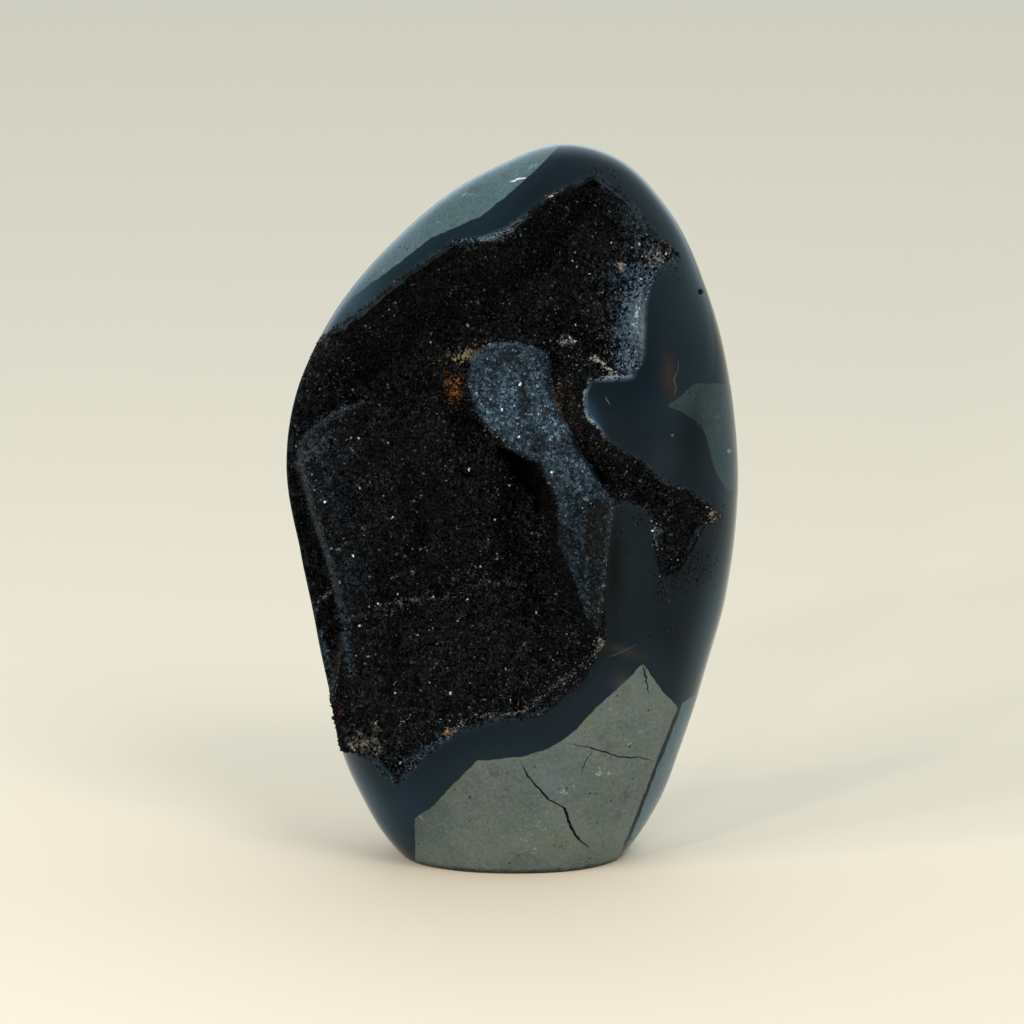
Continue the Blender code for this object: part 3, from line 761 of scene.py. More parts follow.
# The crystals' pieces, by the form that they grow on; what is on none of them lines the chamber
PIECE_FORMS = {
    "fin_crystals": FIN, "pocket_crystals": POCKET, "ledge_crystals": LEDGE, "block_crystals": BLOCK,
}
GROUND_SHADE, PALE_GROUND_SHADE = 0.5, 0.9  # the ground's brightness as a share of the crystals'
SIZE_SPREAD, HEIGHT_SPREAD = (-0.32, 0.28), (-0.1, 0.3)  # logarithms: middle and spread
BIG_SHARE, BIG_SIZE, BIG_HEIGHT = 0.025, 1.7, 1.6
FROSTED_SIZE, FROSTED_HEIGHT = 0.95, 0.8


def druse_ground():
    """The ground's mesh in world millimetres."""
    face, faces = druse_net()
    depth = druse_depth(face, FINE_LUMPS)
    return face, placed(np.stack([face[:, 0], depth, face[:, 1]], axis=1)) * 1000, faces


def make_ground(druse, material):
    """The dark crust between and under the crystals."""
    face, points, faces = druse_ground()
    tone, dull = tones(face, np.random.default_rng(druse.seed + 1))
    tone[:, :3] *= np.where(dull > LEAST_DULL, PALE_GROUND_SHADE, GROUND_SHADE)[:, None]
    layers = [("tone", tone), ("dull", np.maximum(dull, TINTED_DULL))]
    return mesh_object("druse_ground", points / 1000, faces, material, False, layers)


def crystal_piece(name, foot, normal, size, height, tone, dull, chance, material):
    points, sides = crystal_arrays(foot, normal, size, height, chance)
    corners = CRYSTAL_SIDES + 1
    layers = [("tone", np.repeat(tone, corners, axis=0)), ("dull", np.repeat(dull, corners))]
    return mesh_object(name, points / 1000, sides, material, False, layers)


def make_crystals(druse, material):
    """All the druse's crystals, in one joined mesh for each form that they stand on."""
    chance = np.random.default_rng(druse.seed)
    _, ground, faces = druse_ground()
    foot, normal = scattered(ground, faces, (druse.spacing * 1000) ** 2, chance)
    face = leaning(foot / 1000)[:, [0, 2]]
    tone, dull = tones(face, chance)
    count = len(foot)
    size = druse.spacing * 1000 * chance.lognormal(*SIZE_SPREAD, count)
    height = druse.height * 1000 * chance.lognormal(*HEIGHT_SPREAD, count)
    big = chance.random(count) < BIG_SHARE
    size[big] *= BIG_SIZE
    height[big] *= BIG_HEIGHT
    frosted = dull > LEAST_DULL
    size[frosted] *= FROSTED_SIZE
    height[frosted] *= FROSTED_HEIGHT
    height += spot_weight(face, *BUMP)
    # Painted glints: random crystals, more on the fin's head, and the listed ones get a pale colour
    on_head = spot_weight(face, *FIN_HEAD) > HEAD_LEAST
    glinting = chance.random(count) < RANDOM_GLINT_SHARE * np.where(on_head, HEAD_TIMES, 1)
    tone[glinting, :3] = chance.uniform(*RANDOM_GLINT_SHADES, (glinting.sum(), 1)) * linear(RANDOM_GLINT)
    size[glinting] = chance.uniform(*RANDOM_GLINT_SIZE, glinting.sum())
    for glint_spot in PAINTED_GLINTS:
        nearest = np.hypot(*(face - glint_spot).T).argmin()
        tone[nearest, :3], dull[nearest] = linear(PAINTED_GLINT), FULLY_DULL
        size[nearest], height[nearest] = chance.uniform(*PAINTED_GLINT_SIZE), PAINTED_GLINT_HEIGHT
    dull[signed_distance(face, CREVICE) > 0] = FULLY_DULL
    left = np.ones(count, bool)
    made = []
    for name, outline in [*PIECE_FORMS.items(), ("chamber_crystals", None)]:
        mine = left & (signed_distance(face, outline) > 0) if outline else left
        left = left & ~mine
        arrays = (values[mine] for values in (foot, normal, size, height, tone, dull))
        made.append(crystal_piece(name, *arrays, chance, material))
    return made


# Where crystals are cut open in the polish beyond the rim: x, rise, half width, half height, turned by
# degrees, how many
SPRINKLES = [
    (42, 72, 5.2, 4.5, 20, 0.9), (36.5, 66.5, 2, 6, -5, 0.5), (38.5, 57, 2, 2.5, 0, 0.15),
    (49.6, 84.5, 1.6, 2.4, 0, 0.6), (40, 142.5, 1.4, 3, 0, 0.2), (39.5, 147, 1.6, 2.6, 0, 0.45),
    (22, 168.2, 4, 1.2, 0, 0.35), (31, 84, 2.6, 2.4, 0, 0.35), (27, 81, 3, 6, 0, 0.08),
    (30, 96, 12, 1.6, -25, 0.3),
]
BARE_EDGES = [(32.5, 130, 3.2, 12, 0), (24, 119, 6, 1.6, 0), (17.6, 109, 1.6, 5, 0)]
# The ragged row along the rim: share of places with a crystal, how far out that fades, how far in it starts
EDGE_GRAINS, EDGE_REACH, EDGE_INWARD = 0.9, 0.5, 0.45
RIM_SPACING, RIM_SIZES, RIM_HEIGHT = 0.8, (0.35, 0.85), 0.75  # shares of the spacing, and of the size
RIM_MARGIN, OUTLINE_MARGIN = 1.5, 1.0  # places are tried from this far inside the rim to this near the side


def make_rim_crystals(druse, material):
    """Crystals that show in the polish: a ragged row along the rim, and sprinkles beyond it."""
    chance = np.random.default_rng(druse.seed + 2)
    points, faces = skin_net()
    face = points[:, [0, 2]]
    turn, share = polar(face)
    out = -signed_distance(face, RIM)
    on_front = (points[:, 1] < 0) & (out > -RIM_MARGIN) & ((1 - share) * RADIUS_AT(turn) > OUTLINE_MARGIN)
    faces = faces[on_front[faces].all(axis=1)]
    foot, normal = scattered(placed(points) * 1000, faces, (RIM_SPACING * druse.spacing * 1000) ** 2, chance)
    face = leaning(foot / 1000)[:, [0, 2]]
    out = -signed_distance(face, RIM)
    odds = EDGE_GRAINS * np.exp(-((np.clip(out, 0, None) / EDGE_REACH) ** 2))
    for *spot, many in SPRINKLES:
        odds = np.maximum(odds, many * spot_weight(face, *spot))
    for spot in BARE_EDGES:
        odds = odds * (1 - spot_weight(face, *spot))
    kept = (out > -EDGE_INWARD) & (chance.random(len(foot)) < odds)
    foot, normal, face = foot[kept], normal[kept], face[kept]
    tone, dull = tones(face, chance)
    size = druse.spacing * 1000 * chance.uniform(*RIM_SIZES, len(foot))
    return crystal_piece("rim_crystals", foot, normal, size, RIM_HEIGHT * size, tone, dull, chance, material)


# Settings


class NoduleStone(bpy.types.PropertyGroup):
    """The polished skin's finish."""

    matrix: FloatVectorProperty(
        name="Matrix", description="Grey-green mudstone between the veins", subtype="COLOR", size=3,
        min=0, max=1, default=linear("#68706e"),
    )
    calcite: FloatVectorProperty(
        name="Dark calcite", description="Thick dark veins", subtype="COLOR", size=3,
        min=0, max=1, default=linear("#0d181e"),
    )
    polish: FloatProperty(
        name="Polish", description="Roughness of the polished skin", subtype="FACTOR", min=0, max=1,
        default=0.09,
    )
    cell: FloatProperty(
        name="Matrix cell", description="Usual size of a block of matrix on the back", subtype="DISTANCE",
        unit="LENGTH", default=0.042, precision=4,
    )
    vein: FloatProperty(
        name="Vein", description="Usual width of a vein on the back", subtype="DISTANCE", unit="LENGTH",
        default=0.005, precision=4,
    )


class NoduleDruse(bpy.types.PropertyGroup):
    """The crystals' size and finish."""

    spacing: FloatProperty(
        name="Spacing", description="Distance between crystals", subtype="DISTANCE", unit="LENGTH",
        default=0.00047, precision=5,
    )
    height: FloatProperty(
        name="Height", description="Usual height of a crystal", subtype="DISTANCE", unit="LENGTH",
        default=0.0006, precision=5,
    )
    seed: IntProperty(name="Seed", description="Changes where each crystal stands", default=5)


class NoduleStage(bpy.types.PropertyGroup):
    """Floor, light and camera."""

    floor: FloatVectorProperty(
        name="Floor", description="Colour of the plain floor", subtype="COLOR", size=3, min=0, max=1,
        default=linear("#e8d6be"),
    )
    sky: FloatVectorProperty(
        name="Surroundings", description="Colour of the soft light from all round", subtype="COLOR", size=3,
        min=0, max=1, default=linear("#cadde8"),
    )
    sky_strength: FloatProperty(
        name="Surroundings strength", description="Brightness of that light", default=0.3
    )
    lens: FloatProperty(
        name="Lens", description="Focal length of the camera", subtype="DISTANCE_CAMERA", unit="CAMERA",
        default=250.0, max=5000.0,
    )


# Node trees


def add_node(tree, kind, inputs=(), out=0, **settings):
    """Adds a node with its settings, sets or links its inputs, in order or by name, and gives one output."""
    node = tree.nodes.new("ShaderNode" + kind)
    for name, value in settings.items():
        setattr(node, name, value)
    for name, value in (inputs if isinstance(inputs, dict) else dict(enumerate(inputs))).items():
        socket = node.inputs[name]
        if isinstance(value, bpy.types.NodeSocket):
            tree.links.new(value, socket)
        else:
            socket.default_value = (*value[:3], 1.0) if socket.type == "RGBA" else value
    return node.outputs[out] if node.outputs else node


def new_material(name):
    """A material with an empty tree, and add_node for that tree."""
    material = bpy.data.materials.new(name)
    material.use_nodes = True
    material.node_tree.nodes.clear()
    return material, partial(add_node, material.node_tree)


# Lines across the front: what each runs along, its half width in millimetres and where along it that is, its
# colour, and its points (along, across). Cracks hold dark calcite and lie a little deeper than the polish.
CRACK = "#0c0e0f"
LINES = [
    ("rise", 0.46, 0.33, CRACK, [
        (2.3, 19.3), (4.7, 16.4), (8.1, 14.4), (12.7, 13), (15, 8.8), (20.5, 4), (24.4, 2.1),
    ]),
    ("x", 0.24, 0.5, CRACK, [
        (13.4, 28.8), (18.6, 27.9), (22.5, 26.6), (26.3, 25.2), (31.3, 25.1), (34.6, 24.2), (35.8, 23),
    ]),
    ("rise", 0.17, 0.5, CRACK, [(20.6, 16.9), (23.9, 17.9), (27.2, 19.9)]),
    ("rise", 0.26, 0.6, CRACK, [(40.2, 33.6), (44.9, 32.9), (48.2, 32.1)]),
    ("x", 0.1, 0.5, "#3a413d", [(-14, 21), (-11.5, 21.6), (-9, 21)]),
    ("rise", 0.16, 0.5, "#504b45", [
        (113.2, 39.2), (115.6, 39.9), (118.1, 39.5), (120.6, 40.6), (123, 40.2),
    ]),
    ("x", 0.2, 0.4, "#3f3c38", [(23.6, 50.2), (26.5, 51.2), (29, 52.4), (31, 53.4)]),
    ("rise", 0.12, 0.5, "#76808a", [(111.5, 23.8), (113.7, 22.7)]),
    ("x", 0.3, 0.6, "#bcc7cb", [(-0.8, 165.9), (1.4, 166.7), (3.6, 167.1)]),
    ("rise", 0.14, 0.5, "#25282a", [(58.6, 27.4), (60.5, 26.5), (62.4, 26)]),
]
LINE_WANDER, LINE_EDGE = 1.1, 0.12  # how far a line strays and how soft its edge is, millimetres
# Small spots in the polish: x, rise, radius, colour; the black one is a pit
PIT = "#020303"
SPOT_INNER, SPOT_OUTER = 0.65, 1.25  # shares of its radius where a spot is full, and where it ends
SPOTS = [
    (46.2, 139.6, 0.75, PIT), (53.4, 100.6, 0.5, "#6c7b80"), (39.1, 104.3, 0.28, "#566063"),
    (-10.4, 15.4, 0.4, "#343937"), (13.4, 17.6, 0.35, "#3a403d"), (33.6, 36.8, 0.3, "#2c302d"),
]


def line_mask(add, along, across, half_width, widest, points, jitter):
    """1 on a thin line that follows the points and narrows to nothing at its ends, else 0."""
    (first, _), (last, _) = points[0], points[-1]
    values = [value for _, value in points]
    low, high = min(values), max(values)
    share = add("MapRange", (along, first, last))
    line = add("FloatCurve", {"Value": share})
    curve = line.node.mapping.curves[0]
    for i, (place, value) in enumerate(points):
        at = ((place - first) / (last - first), (value - low) / (high - low))
        if i in (0, len(points) - 1):
            curve.points[0 if i == 0 else -1].location = at
        else:
            curve.points.new(*at)
    for point in curve.points:
        point.handle_type = "VECTOR"
    line.node.mapping.update()
    away = add("Math", (across, add("MapRange", (line, 0, 1, low, high))), operation="SUBTRACT")
    away = add("Math", (jitter, LINE_WANDER, away), operation="MULTIPLY_ADD")
    skewed = add("Math", (share, math.log(0.5) / math.log(widest)), operation="POWER")
    bow = add("Math", (skewed, add("Math", (1, skewed), operation="SUBTRACT")), operation="MULTIPLY")
    width = add("Math", (add("Math", (bow, 0.5), operation="POWER"), 2 * half_width), operation="MULTIPLY")
    room = add("Math", (width, add("Math", (away,), operation="ABSOLUTE")), operation="SUBTRACT")
    return add("MapRange", (room, 0, LINE_EDGE))


# Noises in the stone: millimetres that a cloud of each takes up, detail and roughness; for most, also where
# in the noise the pattern starts and is full, and what it gives there. Mudstone's own grain is too fine to
# show in the render, so "grain" is drawn as coarse as it needs to be.
STONE_NOISES = {
    "vein width": (16.67, 2, 0.5, 0.3, 0.7, 0.15, 0.85),
    "back start": (26.32, 2, 0.5, 0.36, 0.64, 0, 18),
    "edge": (2.381, 3, 0.5),
    "mottle": (12.5, 4, 0.6, 0.38, 0.62, 0, 1),
    "stain": (5.263, 4, 0.65, 0.5, 0.7, 0, 0.75),
    "bruise": (7.692, 5, 0.7, 0.56, 0.72, 0, 0.6),
    "grain": (0.7692, 2, 0.5, 0.3, 0.7, 0.8, 1.16),
    "dotted": (5.882, 2, 0.5, 0.48, 0.56, 0, 1),
    "scratch": (1.2195, 5, 0.75),
    "cloud": (18.18, 5, 0.55),
    "wisp": (3.846, 4, 0.7, 0.6, 0.75, 0, 0.35),
    "jitter": (1.7857, 3, 0.6),
    "broken": (1.4286, 3, 0.5, 0.3, 0.6, 0.4, 1.2),
    "scuff": (4.545, 6, 0.7, 0.3, 0.75, 0.8, 1.5),
    "wave": (14.286, 2, 0.5),
}
BEND_WIDTH, BEND = 29.41, 0.012  # noise that bends the veins: its clouds in millimetres, its reach in metres
BACK_FROM_TO = (1, 10)  # depth past "back start" over which the back's cells take over from the patches
FIELD = 9  # millimetres from the matrix's edge beyond which the distance no longer matters
EDGE_WANDER, EDGE_FROM_TO = 0.8, (0.3, 0.5)  # how far the matrix's edge strays, and where it turns to matrix
MUD_STAINS = {"mottle": "#5c6964", "stain": "#6c6e5e", "bruise": "#47524f"}
DOT_SPACING, DOT_FROM_TO, DOT = 2.381, (0.18, 0.08), "#2c302e"  # the matrix's dark dots
FLECK_CROWD, FLECK_FROM_TO, FLECK = 0.15, (0.65, 0.71), "#929a97"  # white flecks, more where they crowd
# The rim's frost colour also paints a glow of light through the calcite
CLOUD, WISP, FROST_AND_GLOW, FOOT_CHIP_AND_SHADOW = "#192831", "#222f36", "#8ea0b0", "#1a2022"
FROST_REACH = 1.5  # millimetres from the rim over which its frost fades
# The foot's dark edge, darkest at the bottom, is partly real chips and partly a painted contact shadow
CHIP_RAGGED, CHIPS_AND_SHADOW = 0.002, (0.0016, 0.0004, 0, 0.85)  # dark chips at the foot: metres up, and how dark
MATRIX_ROUGHER, FROST_ROUGHNESS = 2.2, 0.5
CRACK_RISE, WAVE_STRENGTH, WAVE_HEIGHT = -0.6, 0.25, 0.0002  # the polish's slight waves, and cracks in them
POLISHED_IOR, POLISHED_SPECULAR = 1.5, 0.09


def polished_material(stone):
    """Mudstone and dark calcite ground and polished together: glassy, with the mudstone a little duller."""
    material, add = new_material("polished_septarian_stone")
    place = add("TexCoord", out="Object")
    patch, depth, rim_frost_and_glow, from_rim, crowd = (
        add("Attribute", out="Fac", attribute_name=name)
        for name in ("patch", "depth", "frost", "rim", "flecks")
    )
    tint_and_light, shade = (add("Attribute", out="Color", attribute_name=name) for name in ("tint_and_light", "shade"))
    noises = {}
    for name, (wide, detail, rough, *gives) in STONE_NOISES.items():
        pattern = {"Vector": place, "Scale": 1000 / wide, "Detail": detail, "Roughness": rough}
        cloud = add("TexNoise", pattern)
        noises[name] = add("MapRange", (cloud, *gives)) if gives else cloud

    # Veins cross the back as the walls of irregular cells, bent by slow noise
    bend = add("TexNoise", {"Vector": place, "Scale": 1000 / BEND_WIDTH, "Detail": 3}, out="Color")
    bent = add("VectorMath", (bend, (BEND,) * 3, place), operation="MULTIPLY_ADD")
    cells = {"Vector": bent, "Scale": 1 / stone.cell, "Randomness": 0.9}
    walls = add("TexVoronoi", cells, out="Distance", feature="DISTANCE_TO_EDGE")
    walls = add("Math", (walls, 1000 * stone.cell), operation="MULTIPLY")
    half_vein = add("Math", (noises["vein width"], 1000 * stone.vein), operation="MULTIPLY")
    in_cell = add("Math", (walls, half_vein), operation="SUBTRACT")
    behind = add("Math", (depth, noises["back start"]), operation="SUBTRACT")
    behind = add("MapRange", (behind, *BACK_FROM_TO), interpolation_type="SMOOTHSTEP")
    patch, in_cell = (add("Clamp", (distance, -FIELD, FIELD)) for distance in (patch, in_cell))
    field = add("Mix", {0: behind, 2: patch, 3: in_cell})
    field = add("Math", (noises["edge"], EDGE_WANDER, field), operation="MULTIPLY_ADD")
    is_matrix = add("MapRange", (field, *EDGE_FROM_TO), interpolation_type="SMOOTHSTEP")

    # The mudstone is mottled, stained and bruised, grained, dotted, and flecked with white
    dots = add("TexVoronoi", {"Vector": place, "Scale": 1000 / DOT_SPACING}, out="Distance")
    dots = add("MapRange", (dots, *DOT_FROM_TO, 0, noises["dotted"]))
    flecks = add("Math", (crowd, FLECK_CROWD, noises["scratch"]), operation="MULTIPLY_ADD")
    flecks = add("MapRange", (flecks, *FLECK_FROM_TO))
    mud = stone.matrix
    for name, code in MUD_STAINS.items():
        mud = add("Mix", {0: noises[name], 6: mud, 7: linear(code)}, out=2, data_type="RGBA")
    mud = add("VectorMath", {0: mud, "Scale": noises["grain"]}, operation="SCALE")
    for share, code in ((dots, DOT), (flecks, FLECK)):
        mud = add("Mix", {0: share, 6: mud, 7: linear(code)}, out=2, data_type="RGBA")
    mud = add("VectorMath", (mud, shade), operation="MULTIPLY")

    # The dark calcite is clearer beside the matrix and clouded inside, with wisps in it; tints lie over all:
    # real stains, and painted sheen, reflections and shadows
    clouded = add("MapRange", (field, -FIELD, -1, 0, noises["cloud"]))
    layers = [
        (clouded, linear(CLOUD)), (noises["wisp"], linear(WISP)), (is_matrix, mud),
        (tint_and_light.node.outputs["Alpha"], tint_and_light),
    ]

    # Lines and spots are drawn in the leaning frame's x and rise, on the front alone
    metres_up = (0, 1000 * math.sin(TILT), 1000 * math.cos(TILT))
    rise = add("VectorMath", (place, metres_up), out="Value", operation="DOT_PRODUCT")
    rise = add("Math", (rise, -SHIFT_BACK * math.sin(TILT)), operation="ADD")
    x = add("VectorMath", (place, (1000, 0, 0)), out="Value", operation="DOT_PRODUCT")
    on_face = add("CombineXYZ", (x, rise))
    jitter = add("Math", (noises["jitter"], 0.5), operation="SUBTRACT")
    in_front = add("Math", (depth, 0), operation="LESS_THAN")
    marks = []
    for runs_along, half_width, widest, code, points in LINES:
        along, across = (rise, x) if runs_along == "rise" else (x, rise)
        marks.append((line_mask(add, along, across, half_width, widest, points, jitter), code))
    for *centre, radius, code in SPOTS:
        away = add("VectorMath", (on_face, (*centre, 0)), out="Value", operation="DISTANCE")
        away = add("Math", (jitter, radius, away), operation="MULTIPLY_ADD")
        marks.append((add("MapRange", (away, SPOT_OUTER * radius, SPOT_INNER * radius)), code))
    cracked = 0
    for mask, code in marks:
        mask = add("Math", (mask, in_front), operation="MULTIPLY")
        layers.append((mask, linear(code)))
        if code in (CRACK, PIT):
            cracked = add("Math", (cracked, mask), operation="MAXIMUM")

    # Frosted edge of the hollow, partly a painted glow of light through the thin calcite, and the dark
    # chipped edge of the foot, partly a painted contact shadow
    frosted = add("Math", (add("MapRange", (from_rim, 0, FROST_REACH, 1, 0)), 2), operation="POWER")
    for share in (rim_frost_and_glow, noises["broken"]):
        frosted = add("Math", (frosted, share), operation="MULTIPLY")
    height = add("SeparateXYZ", (place,), out="Z")
    height = add("Math", (jitter, CHIP_RAGGED, height), operation="MULTIPLY_ADD")
    layers += [(frosted, linear(FROST_AND_GLOW)), (add("MapRange", (height, *CHIPS_AND_SHADOW)), linear(FOOT_CHIP_AND_SHADOW))]
    colour = stone.calcite
    for share, over in layers:
        colour = add("Mix", {0: share, 6: colour, 7: over}, out=2, data_type="RGBA")

    # Polish: the matrix takes less of it, fine scratches vary it, and the frost and the cracks have none
    rough = add("Mix", {0: is_matrix, 2: stone.polish, 3: MATRIX_ROUGHER * stone.polish})
    rough = add("Math", (noises["scuff"], rough), operation="MULTIPLY")
    for least in (add("Math", (frosted, FROST_ROUGHNESS), operation="MULTIPLY"), cracked):
        rough = add("Math", (rough, least), operation="MAXIMUM")
    surface = add("Math", (cracked, CRACK_RISE, noises["wave"]), operation="MULTIPLY_ADD")
    bump = add("Bump", {"Height": surface, "Strength": WAVE_STRENGTH, "Distance": WAVE_HEIGHT})
    shader = add("BsdfPrincipled", {
        "Base Color": colour, "Roughness": rough, "IOR": POLISHED_IOR,
        "Specular IOR Level": POLISHED_SPECULAR, "Normal": bump,
    })
    add("OutputMaterial", {"Surface": shader})
    return material


# Millimetres that a cloud of the dust on the crystals takes up, and the board's tooth. The real ones are too
# fine to show in the render, so they are drawn as coarse as they need to be.
DUST, TOOTH = 1.111, 1.111
DUST_SHADES, FACET_ROUGHNESS = (0.3, 0.7, 0.7, 1.3), (0.24, 0.55)  # roughness of clean facets and dull ones


def druse_material():
    """Fine black calcite crystals: clean facets glint when a light meets them; dull ones can carry painted
    glints.
    """
    material, add = new_material("black_calcite_druse")
    place = add("TexCoord", out="Object")
    tone = add("Attribute", out="Color", attribute_name="tone")
    dull = add("Attribute", out="Fac", attribute_name="dull")
    dust = add("TexNoise", {"Vector": place, "Scale": 1000 / DUST, "Detail": 3})
    colour = add("VectorMath", {0: tone, "Scale": add("MapRange", (dust, *DUST_SHADES))}, operation="SCALE")
    rough = add("MapRange", (dull, 0, 1, *FACET_ROUGHNESS))
    shader = add("BsdfPrincipled", {
        "Base Color": colour, "Roughness": rough, "IOR": 1.6, "Specular IOR Level": 0.08,
    })
    add("OutputMaterial", {"Surface": shader})
    return material


def floor_material(stage):
    """Smooth matt board: one pale tone that takes soft shadows."""
    material, add = new_material("matt_board")
    place = add("TexCoord", out="Object")
    tooth = add("TexNoise", {"Vector": place, "Scale": 1000 / TOOTH, "Detail": 2})
    bump = add("Bump", {"Height": tooth, "Strength": 0.1, "Distance": 0.0001})
    shader = add("BsdfPrincipled", {
        "Base Color": stage.floor, "Roughness": 0.85, "Specular IOR Level": 0.2, "Normal": bump,
    })
    add("OutputMaterial", {"Surface": shader})
    return material


# Stage

AIM = placed([(0.0, 0.0, MIDDLE_RISE)])[0]
SCALE_FORWARD = 0.012  # metres in front of the place aimed at where the picture has the photograph's scale
CAMERA_SEES, FLOOR_HALF = 50, 8.0
SQUARE = [(-1, -1), (1, -1), (1, 1), (-1, 1)]
# Square lamps: azimuth and elevation seen from the stone, distance and side in metres, brightness, colour.
# Two large soft ones stand left and right, and four small ones make single crystals glint.
LAMPS = {
    "left_softbox": (-52, 24, 2.6, 0.9, 5.2, "#fbf6ef"),
    "right_softbox": (30, 44, 2.6, 1, 5.8, "#fbf8f4"),
    "glint_low": (-50, 8, 1.2, 0.07, 110, "#fff6ea"),
    "glint_high": (-25, 30, 1.2, 0.07, 110, "#ffffff"),
    "glint_side": (-64, 22, 1.2, 0.07, 110, "#eef4ff"),
    "glint_front": (-8, 16, 1.2, 0.05, 140, "#ffffff"),
}
# Soft glows of the surroundings, behind, beside and above the stone: azimuth, elevation, half angle,
# brightness
GLOWS = [
    (150, 8, 75, 0.9), (-150, 12, 70, 0.7), (85, 20, 60, 0.34), (75, 45, 55, 0.5), (180, 25, 40, 0.4),
    (180, 80, 60, 0.6),
]


def direction(azimuth, elevation):
    """Unit vector from the stone towards a place round it; azimuth 0 is the front and 90 the right."""
    a, e = math.radians(azimuth), math.radians(elevation)
    return Vector((math.sin(a) * math.cos(e), -math.cos(a) * math.cos(e), math.sin(e)))


def looking_at(obj, azimuth, elevation, distance, aim):
    """Puts a lamp or camera in the scene this far from the aim, facing it."""
    way = direction(azimuth, elevation)
    obj.location = Vector(aim) + way * distance
    obj.rotation_euler = (-way).to_track_quat("-Z", "Y").to_euler()
    bpy.context.scene.collection.objects.link(obj)
    return obj


def make_lights():
    """The square lamps, each facing the place that the camera aims at."""
    for name, (azimuth, elevation, distance, side, brightness, code) in LAMPS.items():
        lamp = bpy.data.lights.new(name, "AREA")
        lamp.size = side
        lamp.energy, lamp.color = 4 * side * side * brightness, linear(code)
        looking_at(bpy.data.objects.new(name, lamp), azimuth, elevation, distance, AIM)


def make_camera(stage):
    """A long lens at the photograph's viewing angle and scale."""
    camera = bpy.data.cameras.new("camera")
    camera.lens, camera.sensor_width = stage.lens, 36.0
    field = PICTURE_SIDE * MM_PER_PIXEL / 1000
    distance = stage.lens / camera.sensor_width * field + SCALE_FORWARD
    camera.clip_end = CAMERA_SEES
    obj = looking_at(bpy.data.objects.new("camera", camera), 0, math.degrees(TILT), distance, AIM)
    bpy.context.scene.camera = obj


def make_floor(stage):
    mesh = bpy.data.meshes.new("floor")
    mesh.from_pydata([(x * FLOOR_HALF, y * FLOOR_HALF, 0) for x, y in SQUARE], [], [(0, 1, 2, 3)])
    mesh.materials.append(floor_material(stage))
    floor = bpy.data.objects.new("floor", mesh)
    bpy.context.scene.collection.objects.link(floor)


def make_world(stage):
    """Even surroundings with soft glows that fade out to nothing, so the polish mirrors no hard edge."""
    world = bpy.data.worlds.new("surroundings")
    world.use_nodes = True
    world.node_tree.nodes.clear()
    add = partial(add_node, world.node_tree)
    way = add("VectorMath", (add("TexCoord", out="Generated"),), operation="NORMALIZE")
    total = stage.sky_strength
    for azimuth, elevation, half_angle, brightness in GLOWS:
        near = add("VectorMath", (way, direction(azimuth, elevation)), out="Value", operation="DOT_PRODUCT")
        glow = (near, math.cos(math.radians(half_angle)), 1, 0, brightness)
        glow = add("MapRange", glow, interpolation_type="SMOOTHSTEP")
        total = add("Math", (total, glow), operation="ADD")
    add("OutputWorld", {"Surface": add("Background", {"Color": stage.sky, "Strength": total})})
    bpy.context.scene.world = world


# Operators


class NODULE_OT_polished_stone(bpy.types.Operator):
    """Build the polished skin and its foot"""

    bl_idname = "nodule.polished_stone"
    bl_label = "Polished Stone"

    def execute(self, context):
        stone = context.scene.nodule_stone
        piece = make_polished_stone(polished_material(stone))
        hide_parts("stone")
        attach(piece, "root")
        return {"FINISHED"}


class NODULE_OT_druse_ground(bpy.types.Operator):
    """Build the dark crust that the crystals stand on"""

    bl_idname = "nodule.druse_ground"
    bl_label = "Druse Ground"

    def execute(self, context):
        material = bpy.data.materials.get("black_calcite_druse") or druse_material()
        piece = make_ground(context.scene.nodule_druse, material)
        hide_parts("crystal_crust")
        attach(piece, "root")
        return {"FINISHED"}


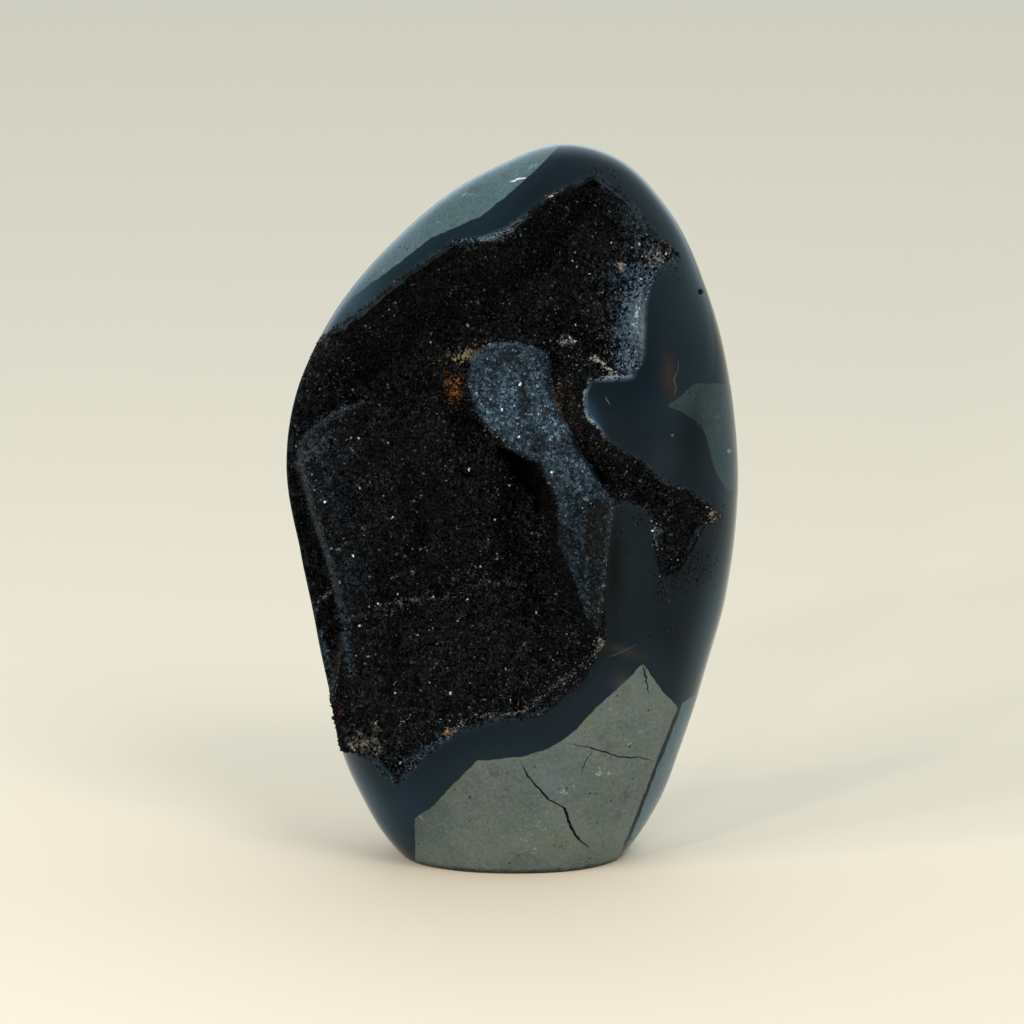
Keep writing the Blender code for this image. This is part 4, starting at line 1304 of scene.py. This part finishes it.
class NODULE_OT_crystals(bpy.types.Operator):
    """Build the crystals of the chamber, block, ledge, fin, pocket and rim"""

    bl_idname = "nodule.crystals"
    bl_label = "Crystals"

    def execute(self, context):
        material = bpy.data.materials.get("black_calcite_druse") or druse_material()
        druse = context.scene.nodule_druse
        for piece in [*make_crystals(druse, material), make_rim_crystals(druse, material)]:
            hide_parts("crystal_crust")
            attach(piece, "root")
        return {"FINISHED"}


class NODULE_OT_stage(bpy.types.Operator):
    """Set the floor, lights, surroundings and camera"""

    bl_idname = "nodule.stage"
    bl_label = "Stage"

    def execute(self, context):
        stage = context.scene.nodule_stage
        make_floor(stage)
        make_world(stage)
        make_lights()
        make_camera(stage)
        context.scene.view_settings.view_transform = "Standard"
        return {"FINISHED"}


class NODULE_PT_panel(bpy.types.Panel):
    """The nodule's settings, and its pieces in the order that they are built"""

    bl_idname = "NODULE_PT_panel"
    bl_label = "Septarian Nodule"
    bl_space_type = "VIEW_3D"
    bl_region_type = "UI"
    bl_category = "Nodule"

    def draw(self, context):
        for settings in (context.scene.nodule_stone, context.scene.nodule_druse, context.scene.nodule_stage):
            box = self.layout.box()
            for name in settings.__annotations__:
                box.prop(settings, name)
        for operator in OPERATORS:
            self.layout.operator(operator.bl_idname)


SETTINGS = {"nodule_stone": NoduleStone, "nodule_druse": NoduleDruse, "nodule_stage": NoduleStage}
OPERATORS = (NODULE_OT_polished_stone, NODULE_OT_druse_ground, NODULE_OT_crystals, NODULE_OT_stage)
CLASSES = (*SETTINGS.values(), *OPERATORS, NODULE_PT_panel)


def register():
    for cls in CLASSES:
        bpy.utils.register_class(cls)
    for name, group in SETTINGS.items():
        setattr(bpy.types.Scene, name, PointerProperty(type=group))


def unregister():
    for name in SETTINGS:
        delattr(bpy.types.Scene, name)
    for cls in reversed(CLASSES):
        bpy.utils.unregister_class(cls)


def main():
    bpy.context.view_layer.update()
    register()
    bpy.ops.nodule.polished_stone()
    bpy.ops.nodule.druse_ground()
    bpy.ops.nodule.crystals()
    bpy.ops.nodule.stage()


if __name__ == "__main__":
    main()
